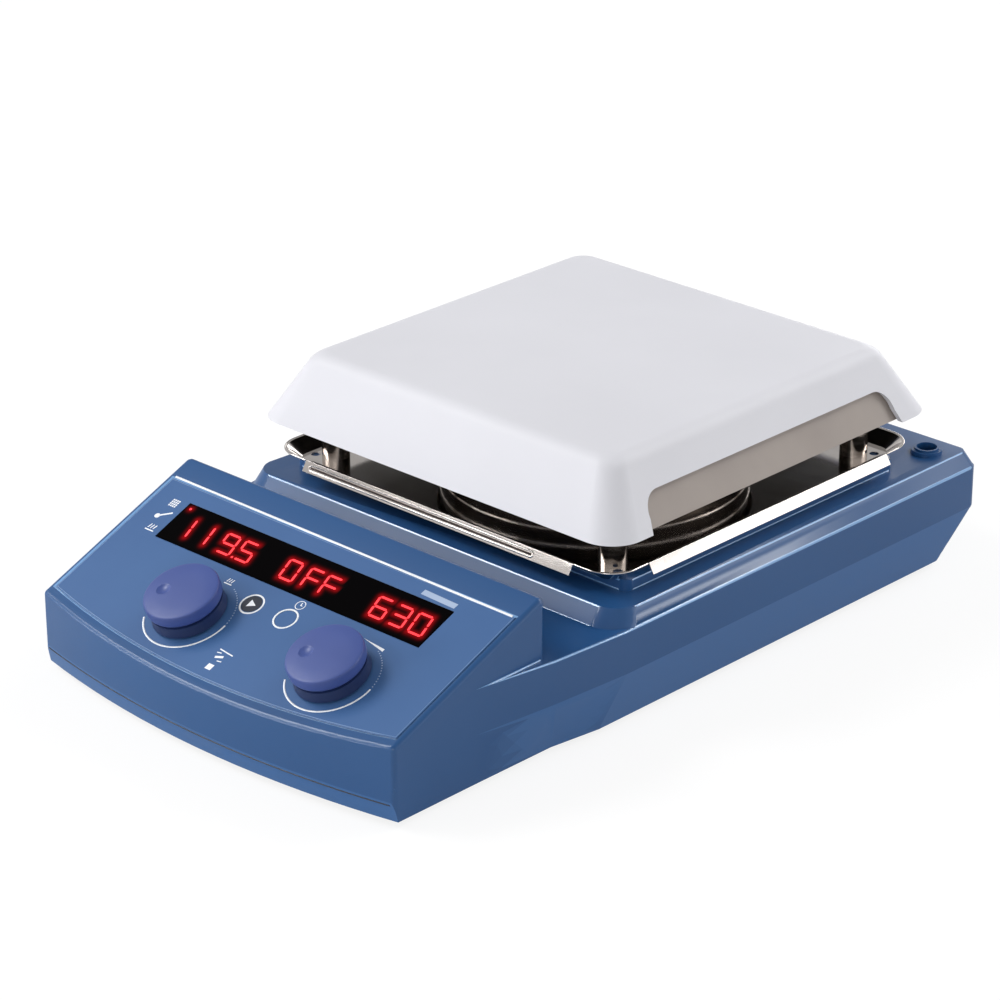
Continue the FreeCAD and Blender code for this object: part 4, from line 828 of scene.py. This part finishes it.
arrow = [(run["x"] + runPrint["back"], run["y"] - runPrint["half"]),
         (run["x"] + runPrint["tip"], run["y"]),
         (run["x"] + runPrint["back"], run["y"] + runPrint["half"])]
sheetPiece("runArrow", [arrow], keyTop, keyTop + sheet * 2, finish["printWhite"],
           "run_button")
print("stage: panel prints")


# Painted highlight along the border of the membrane, painted shadow along the front crease of the
# body, painted shade in the lip's groove, and beads of the steel

border = {"inset": 0.6, "line": 0.36, "near": 0.02 * mm, "middle": (0.0, 38.0)}


def outerLoop(node, level):
    # the outer edge of a panel piece at one level, in panel coordinates
    inverse = panelFrame.inverted()
    build = bmesh.new()
    build.from_mesh(nodes[node].data)
    bmesh.ops.remove_doubles(build, verts=build.verts, dist=mergeDistance)
    bmesh.ops.transform(build, matrix=inverse, verts=build.verts)
    flat = [f for f in build.faces if all(abs(v.co.z - level) < border["near"] for v in f.verts)]
    rim = [e for e in build.edges if sum(f in flat for f in e.link_faces) == 1]
    nextOf = {}
    for edge in rim:
        for corner in edge.verts:
            nextOf.setdefault(corner, []).append(edge.other_vert(corner))
    start = max(nextOf, key=lambda corner: abs(corner.co.x))
    path, last, here = [start], None, start
    while True:
        ahead = [corner for corner in nextOf[here] if corner is not last]
        last, here = here, ahead[0]
        if here is start:
            break
        path.append(here)
    points = [(corner.co.x / mm, corner.co.y / mm) for corner in path]
    build.free()
    return points


def movedIn(points, inset):
    # each point of a closed outline moved square to its neighbours, to the inside
    moved = []
    middle = Vector(border["middle"])
    for i in range(len(points)):
        before, here, after = (Vector(points[(i + k) % len(points)]) for k in (-1, 0, 1))
        first = (here - before).normalized()
        second = (after - here).normalized()
        square = Vector((-(first.y + second.y), first.x + second.x))
        share = max(0.4, square.length / 2)
        square.normalize()
        if square.dot(middle - here) < 0:
            square = -square
        moved.append(tuple(here + square * inset / share))
    return moved


# a pale line along the membrane's edge is painted highlight
rimPath = movedIn(outerLoop("front_overlay", filmTop), border["inset"])
rimPath.append(rimPath[0])
panelLine("membraneRimHighlight", [rimPath], border["line"], "paintedRimHighlight")


def bodyBead(name, paths, radius, finishName):
    piece = alongPaths(name, "bead", paths, {"Radius": radius * mm}, finish[finishName])
    owned(piece, "stirrer")


front = {"bow": 11.0, "half": 100.5, "line": -170.0, "top": 11.6, "foot": 3.0, "slope": 2.0}
# a dark bead in the crease under the front wall, where it overhangs the recessed strip, is painted
# shadow
creaseShadow = {"height": 10.2, "line": 0.6, "endGap": 2.4, "steps": 48}
bowRadius = (front["half"] ** 2 + front["bow"] ** 2) / (2 * front["bow"])
bowMiddle = front["line"] - front["bow"] + bowRadius
creaseShadowRadius = bowRadius - front["slope"] * (front["top"] - creaseShadow["height"]) / (
    front["top"] - front["foot"])
creaseShadowReach = math.asin((front["half"] - creaseShadow["endGap"]) / creaseShadowRadius)
creaseShadowPath = []
for i in range(creaseShadow["steps"] + 1):
    turn = -creaseShadowReach + 2 * creaseShadowReach * i / creaseShadow["steps"]
    creaseShadowPath.append(Vector((creaseShadowRadius * math.sin(turn) * mm,
                            (bowMiddle - creaseShadowRadius * math.cos(turn)) * mm,
                            creaseShadow["height"] * mm)))
bodyBead("frontCreaseShadow", [creaseShadowPath], creaseShadow["line"] / 2, "darkPrintAndShadow")

lip = {"top": 61.0, "foot": 56.8, "lean": 2.5, "y": -44.9, "left": -73.0, "right": 56.0,
       "bead": 0.42, "slot": 0.5, "beadEnd": 1.2, "slotEnd": 1.6, "high": 0.25, "low": 0.75}


def onFrontLip(x, share):
    # a point on the outer face of the front lip, share 0 at its top and 1 at its foot
    return Vector((x * mm, (lip["y"] - lip["lean"] * share) * mm,
                   (lip["top"] - (lip["top"] - lip["foot"]) * share) * mm))


leftEnd, rightEnd = lip["left"] + lip["beadEnd"], lip["right"] - lip["beadEnd"]
loop = [onFrontLip(leftEnd, lip["high"]), onFrontLip(rightEnd, lip["high"]),
        onFrontLip(lip["right"], 0.5), onFrontLip(rightEnd, lip["low"]),
        onFrontLip(leftEnd, lip["low"]), onFrontLip(lip["left"], 0.5)]
bodyBead("lipBead", [loop + loop[:1]], lip["bead"], "polishedSteel")
# the dark bead down the middle of the lip's loop is painted shade of the groove
slot = [onFrontLip(lip["left"] + lip["slotEnd"], 0.5),
        onFrontLip(lip["right"] - lip["slotEnd"], 0.5)]
bodyBead("lipGrooveShade", [slot], lip["slot"], "slotShade")

hem = {"corner": 83.9, "middle": 52.5, "radius": 13.2, "height": 60.75, "lipEnd": 76.6,
       "bead": 0.4, "steps": 16}
hems = []
for side, end in ((1, -1), (1, 1), (-1, 1), (-1, -1)):
    path = arcPath(hem["corner"], hem["corner"], hem["radius"], 0, 90, hem["steps"])
    reach = hem["corner"] + hem["radius"]
    path = [(reach, hem["lipEnd"])] + path + [(hem["lipEnd"], reach)]
    hems.append([Vector((x * side, y * end + hem["middle"], hem["height"])) * mm for x, y in path])
bodyBead("trayHem", hems, hem["bead"], "polishedSteel")

drum = {"x": 0.0, "y": 52.5, "radius": 65.4, "heights": (63.0, 70.0), "bead": 0.9, "steps": 96}
rings = []
for height in drum["heights"]:
    path = arcPath(drum["x"], drum["y"], drum["radius"], 0, 360, drum["steps"])
    rings.append([Vector((x, y, height)) * mm for x, y in path[:-1] + path[:1]])
bodyBead("drumBeads", rings, drum["bead"], "polishedSteel")
print("stage: border, seam and beads")


# Display: lit segments and their glow

digits = {"height": 10.0, "width": 7.0, "stroke": 1.0, "lean": -0.2, "low": 50.3, "gap": 0.2,
          "dotSteps": 16, "under": 0.02 * mm, "over": 0.05 * mm}
glowGrid = {"reach": 1.5, "share": 0.5, "cell": 0.5, "edge": 0.3, "far": 9.0, "none": 99.0,
            "lift": 0.015 * mm, "sheet": 0.01 * mm}
segmentEnds = {"a": ((0, 1), (1, 1)), "b": ((1, 1), (1, 0.5)), "c": ((1, 0.5), (1, 0)),
               "d": ((0, 0), (1, 0)), "e": ((0, 0), (0, 0.5)), "f": ((0, 0.5), (0, 1)),
               "g": ((0, 0.5), (1, 0.5)), "m": ((0.5, 0), (0.5, 0.5)), "n": ((0.5, 0.5), (0.5, 1))}
segmentsOf = {"1": "mn", "9": "abcdfg", "5": "acdfg", "0": "abcdef", "F": "aefg", "6": "acdefg",
              "3": "abcdg"}
readings = [("1", -68.9), ("1", -58.0), ("9", -46.5), ("5", -35.9), ("0", -10.1), ("F", 2.1),
            ("F", 12.0), ("6", 40.3), ("3", 51.2), ("0", 61.9)]
decimalDot = {"place": (-37.2, 50.3), "radius": 0.55}
statusDot = {"place": (-75.4, 64.0), "radius": 0.6}


def segmentLine(left, name):
    ends = []
    for u, v in segmentEnds[name]:
        ends.append(Vector((left + u * digits["width"] + v * digits["height"] * digits["lean"],
                            digits["low"] + v * digits["height"])))
    return ends


def segmentOutline(ends, half):
    along = (ends[1] - ends[0]).normalized()
    side = Vector((-along.y, along.x)) * half
    first, last = ends[0] + along * digits["gap"], ends[1] - along * digits["gap"]
    inward = along * half
    shape = [first, first + inward - side, last - inward - side, last,
             last - inward + side, first + inward + side]
    return [(p.x, p.y) for p in shape]


lines = [segmentLine(left, name) for sign, left in readings for name in segmentsOf[sign]]
outlines = [segmentOutline(ends, digits["stroke"] / 2) for ends in lines]
for dot in (decimalDot, statusDot):
    outlines.append(disc(*dot["place"], dot["radius"], digits["dotSteps"]))
sheetPiece("displayDigits", outlines, windowTop + digits["under"], windowTop + digits["over"],
           finish["digitLight"], "stirrer")


def distanceTo(point, ends):
    along = ends[1] - ends[0]
    share = (point - ends[0]).dot(along) / along.length_squared
    return (point - ends[0] - along * max(0.0, min(1.0, share))).length


def glowSheet():
    # a fine grid over the window whose points know how near a lit segment is
    inverse = panelFrame.inverted()
    corners = [inverse @ v.co / mm for v in nodes["display_window"].data.vertices]
    edge = glowGrid["edge"]
    left, right = min(c.x for c in corners) + edge, max(c.x for c in corners) - edge
    near, far = min(c.y for c in corners) + edge, max(c.y for c in corners) - edge
    columns = int((right - left) / glowGrid["cell"])
    rows = int((far - near) / glowGrid["cell"])
    dotLines = [[Vector(dot["place"]), Vector(dot["place"]) + Vector((0.1, 0))]
                for dot in (decimalDot, statusDot)]
    lit = lines + dotLines
    points, glow = [], []
    for row in range(rows + 1):
        for column in range(columns + 1):
            point = Vector((left + (right - left) * column / columns,
                            near + (far - near) * row / rows))
            points.append(Vector((point.x * mm, point.y * mm, windowTop + glowGrid["lift"])))
            close = [ends for ends in lit if abs(ends[0].x - point.x) < glowGrid["far"]]
            gap = min((distanceTo(point, ends) for ends in close),
                      default=glowGrid["none"])
            glow.append(glowGrid["share"] * math.exp(-(gap / glowGrid["reach"]) ** 2))
    faces = []
    for row in range(rows):
        for column in range(columns):
            first = row * (columns + 1) + column
            faces.append((first, first + 1, first + columns + 2, first + columns + 1))
    mesh = bpy.data.meshes.new("displayGlow")
    mesh.from_pydata(points, [], faces)
    values = mesh.attributes.new("glow", "FLOAT", "POINT")
    values.data.foreach_set("value", glow)
    piece = addObject("displayGlow", mesh, finish["windowGlow"])
    thick = piece.modifiers.new("sheetThickness", "SOLIDIFY")
    thick.thickness = glowGrid["sheet"]
    thick.offset = -1
    settle(piece)
    piece.data.transform(panelFrame)
    owned(piece, "stirrer")


glowSheet()
print("stage: display")


# Floor, lights and camera

studio = {"floorSize": 6.0, "floorColour": 0.62, "floorGlow": 1.2, "floorShare": 0.7,
          "floorGloss": 0.25, "horizon": 0.56, "zenith": 0.34, "glossHorizon": 0.35,
          "aim": (0, 0, 0.05)}
lamps = {
    "keyLamp": {"place": (-0.95, -0.6, 1.2), "wide": 0.7, "high": 0.4, "power": 9.0},
    "frontLamp": {"place": (-1.0, -1.27, 0.87), "wide": 0.9, "high": 0.14, "power": 3.6},
    "faceLamp": {"place": (0.75, -1.2, 0.35), "wide": 0.5, "high": 0.3, "power": 2.8},
    "wallLamp": {"place": (-0.75, -1.1, 0.16), "wide": 1.0, "high": 0.25, "power": 5.0},
    "backLamp": {"place": (-0.35, 1.4, 0.3), "wide": 0.8, "high": 0.4, "power": 3.0},
    "rearLamp": {"place": (0.38, 0.95, 0.98), "wide": 0.8, "high": 0.25, "power": 5.5},
    "sideLamp": {"place": (0.75, 0.58, 0.20), "wide": 0.6, "high": 0.3, "power": 0.5},
}
# soft bright or dark patches in the surroundings: direction, inner and outer angle, strength
skyPatches = [
    ((-0.63, -0.39, 0.67), 6, 16, 1.6),
    ((0.39, 0.66, 0.64), 5, 14, 1.4),
    ((0.65, 0.665, 0.366), 10, 26, 0.7),
    ((0.73, 0.665, 0.12), 4, 12, 1.3),
    ((-0.63, 0.66, 0.40), 18, 40, -0.12),
]


def studioFloor():
    mesh = bpy.data.meshes.new("studioFloor")
    half = studio["floorSize"] / 2
    mesh.from_pydata([(-half, -half, 0), (half, -half, 0), (half, half, 0), (-half, half, 0)], [],
                     [(0, 1, 2, 3)])
    material, tree, shader = newMaterial("floorWhite")
    shade = studio["floorColour"]
    shader.inputs["Base Color"].default_value = (shade, shade, shade, 1.0)
    shader.inputs["Roughness"].default_value = 0.9
    shader.inputs["Specular IOR Level"].default_value = 0.0
    glow = tree.nodes.new("ShaderNodeEmission")
    glow.inputs["Strength"].default_value = studio["floorGlow"]
    rays = tree.nodes.new("ShaderNodeLightPath")
    seen = mathOf(tree, "MULTIPLY_ADD", rays.outputs["Is Glossy Ray"], studio["floorGloss"],
                  rays.outputs["Is Camera Ray"])
    share = mathOf(tree, "MULTIPLY", seen, studio["floorShare"])
    mix = tree.nodes.new("ShaderNodeMixShader")
    tree.links.new(share, mix.inputs[0])
    tree.links.new(shader.outputs[0], mix.inputs[1])
    tree.links.new(glow.outputs[0], mix.inputs[2])
    tree.links.new(mix.outputs[0], tree.nodes["Material Output"].inputs["Surface"])
    floor = addObject("studioFloor", mesh, material)


def studioLamp(name, lamp):
    light = bpy.data.lights.new(name, "AREA")
    light.shape = "RECTANGLE"
    light.size = lamp["wide"]
    light.size_y = lamp["high"]
    light.energy = lamp["power"]
    piece = bpy.data.objects.new(name, light)
    piece.location = lamp["place"]
    aim = Vector(studio["aim"]) - Vector(lamp["place"])
    piece.rotation_euler = aim.to_track_quat("-Z", "Y").to_euler()
    scene.collection.objects.link(piece)


def studioSky():
    world = bpy.data.worlds.new("studioSky")
    scene.world = world
    world.use_nodes = True
    tree = world.node_tree
    back = tree.nodes["Background"]
    back.inputs["Color"].default_value = (1, 1, 1, 1)
    direction = tree.nodes.new("ShaderNodeTexCoord").outputs["Generated"]
    split = tree.nodes.new("ShaderNodeSeparateXYZ")
    tree.links.new(direction, split.inputs["Vector"])
    total = spread(tree, split.outputs["Z"], studio["horizon"], studio["zenith"], 0.0, 0.9)
    for aim, inner, outer, strength in skyPatches:
        dot = vectorOf(tree, "DOT_PRODUCT", direction, Vector(aim).normalized())
        patch = spread(tree, dot.outputs["Value"], 0.0, strength,
                       math.cos(math.radians(outer)), math.cos(math.radians(inner)))
        patch.node.interpolation_type = "SMOOTHSTEP"
        total = mathOf(tree, "ADD", total, patch)
    rays = tree.nodes.new("ShaderNodeLightPath")
    low = spread(tree, split.outputs["Z"], studio["glossHorizon"], 0.0, 0.1, 0.55)
    total = mathOf(tree, "MULTIPLY_ADD", low, rays.outputs["Is Glossy Ray"], total)
    seen = tree.nodes.new("ShaderNodeMix")
    seen.inputs["B"].default_value = 1.0
    tree.links.new(rays.outputs["Is Camera Ray"], seen.inputs["Factor"])
    tree.links.new(total, seen.inputs["A"])
    tree.links.new(seen.outputs["Result"], back.inputs["Strength"])


camera = {"azimuth": 43.41, "elevation": 23.78, "distance": 1.54329,
          "target": (-0.0024, -0.00386, 0.05175), "lens": 133.19, "sensor": 36}


def studioCamera():
    data = bpy.data.cameras.new("studioCamera")
    data.lens = camera["lens"]
    data.sensor_width = camera["sensor"]
    around, above = math.radians(camera["azimuth"]), math.radians(camera["elevation"])
    back = Vector((math.sin(around) * math.cos(above), -math.cos(around) * math.cos(above),
                   math.sin(above)))
    eye = bpy.data.objects.new("studioCamera", data)
    eye.location = Vector(camera["target"]) + back * camera["distance"]
    eye.rotation_euler = (-back).to_track_quat("-Z", "Y").to_euler()
    scene.collection.objects.link(eye)
    scene.camera = eye


studioFloor()
studioSky()
for name, lamp in lamps.items():
    studioLamp(name, lamp)
studioCamera()
scene.view_settings.view_transform = "Standard"
print("stage: studio ready")
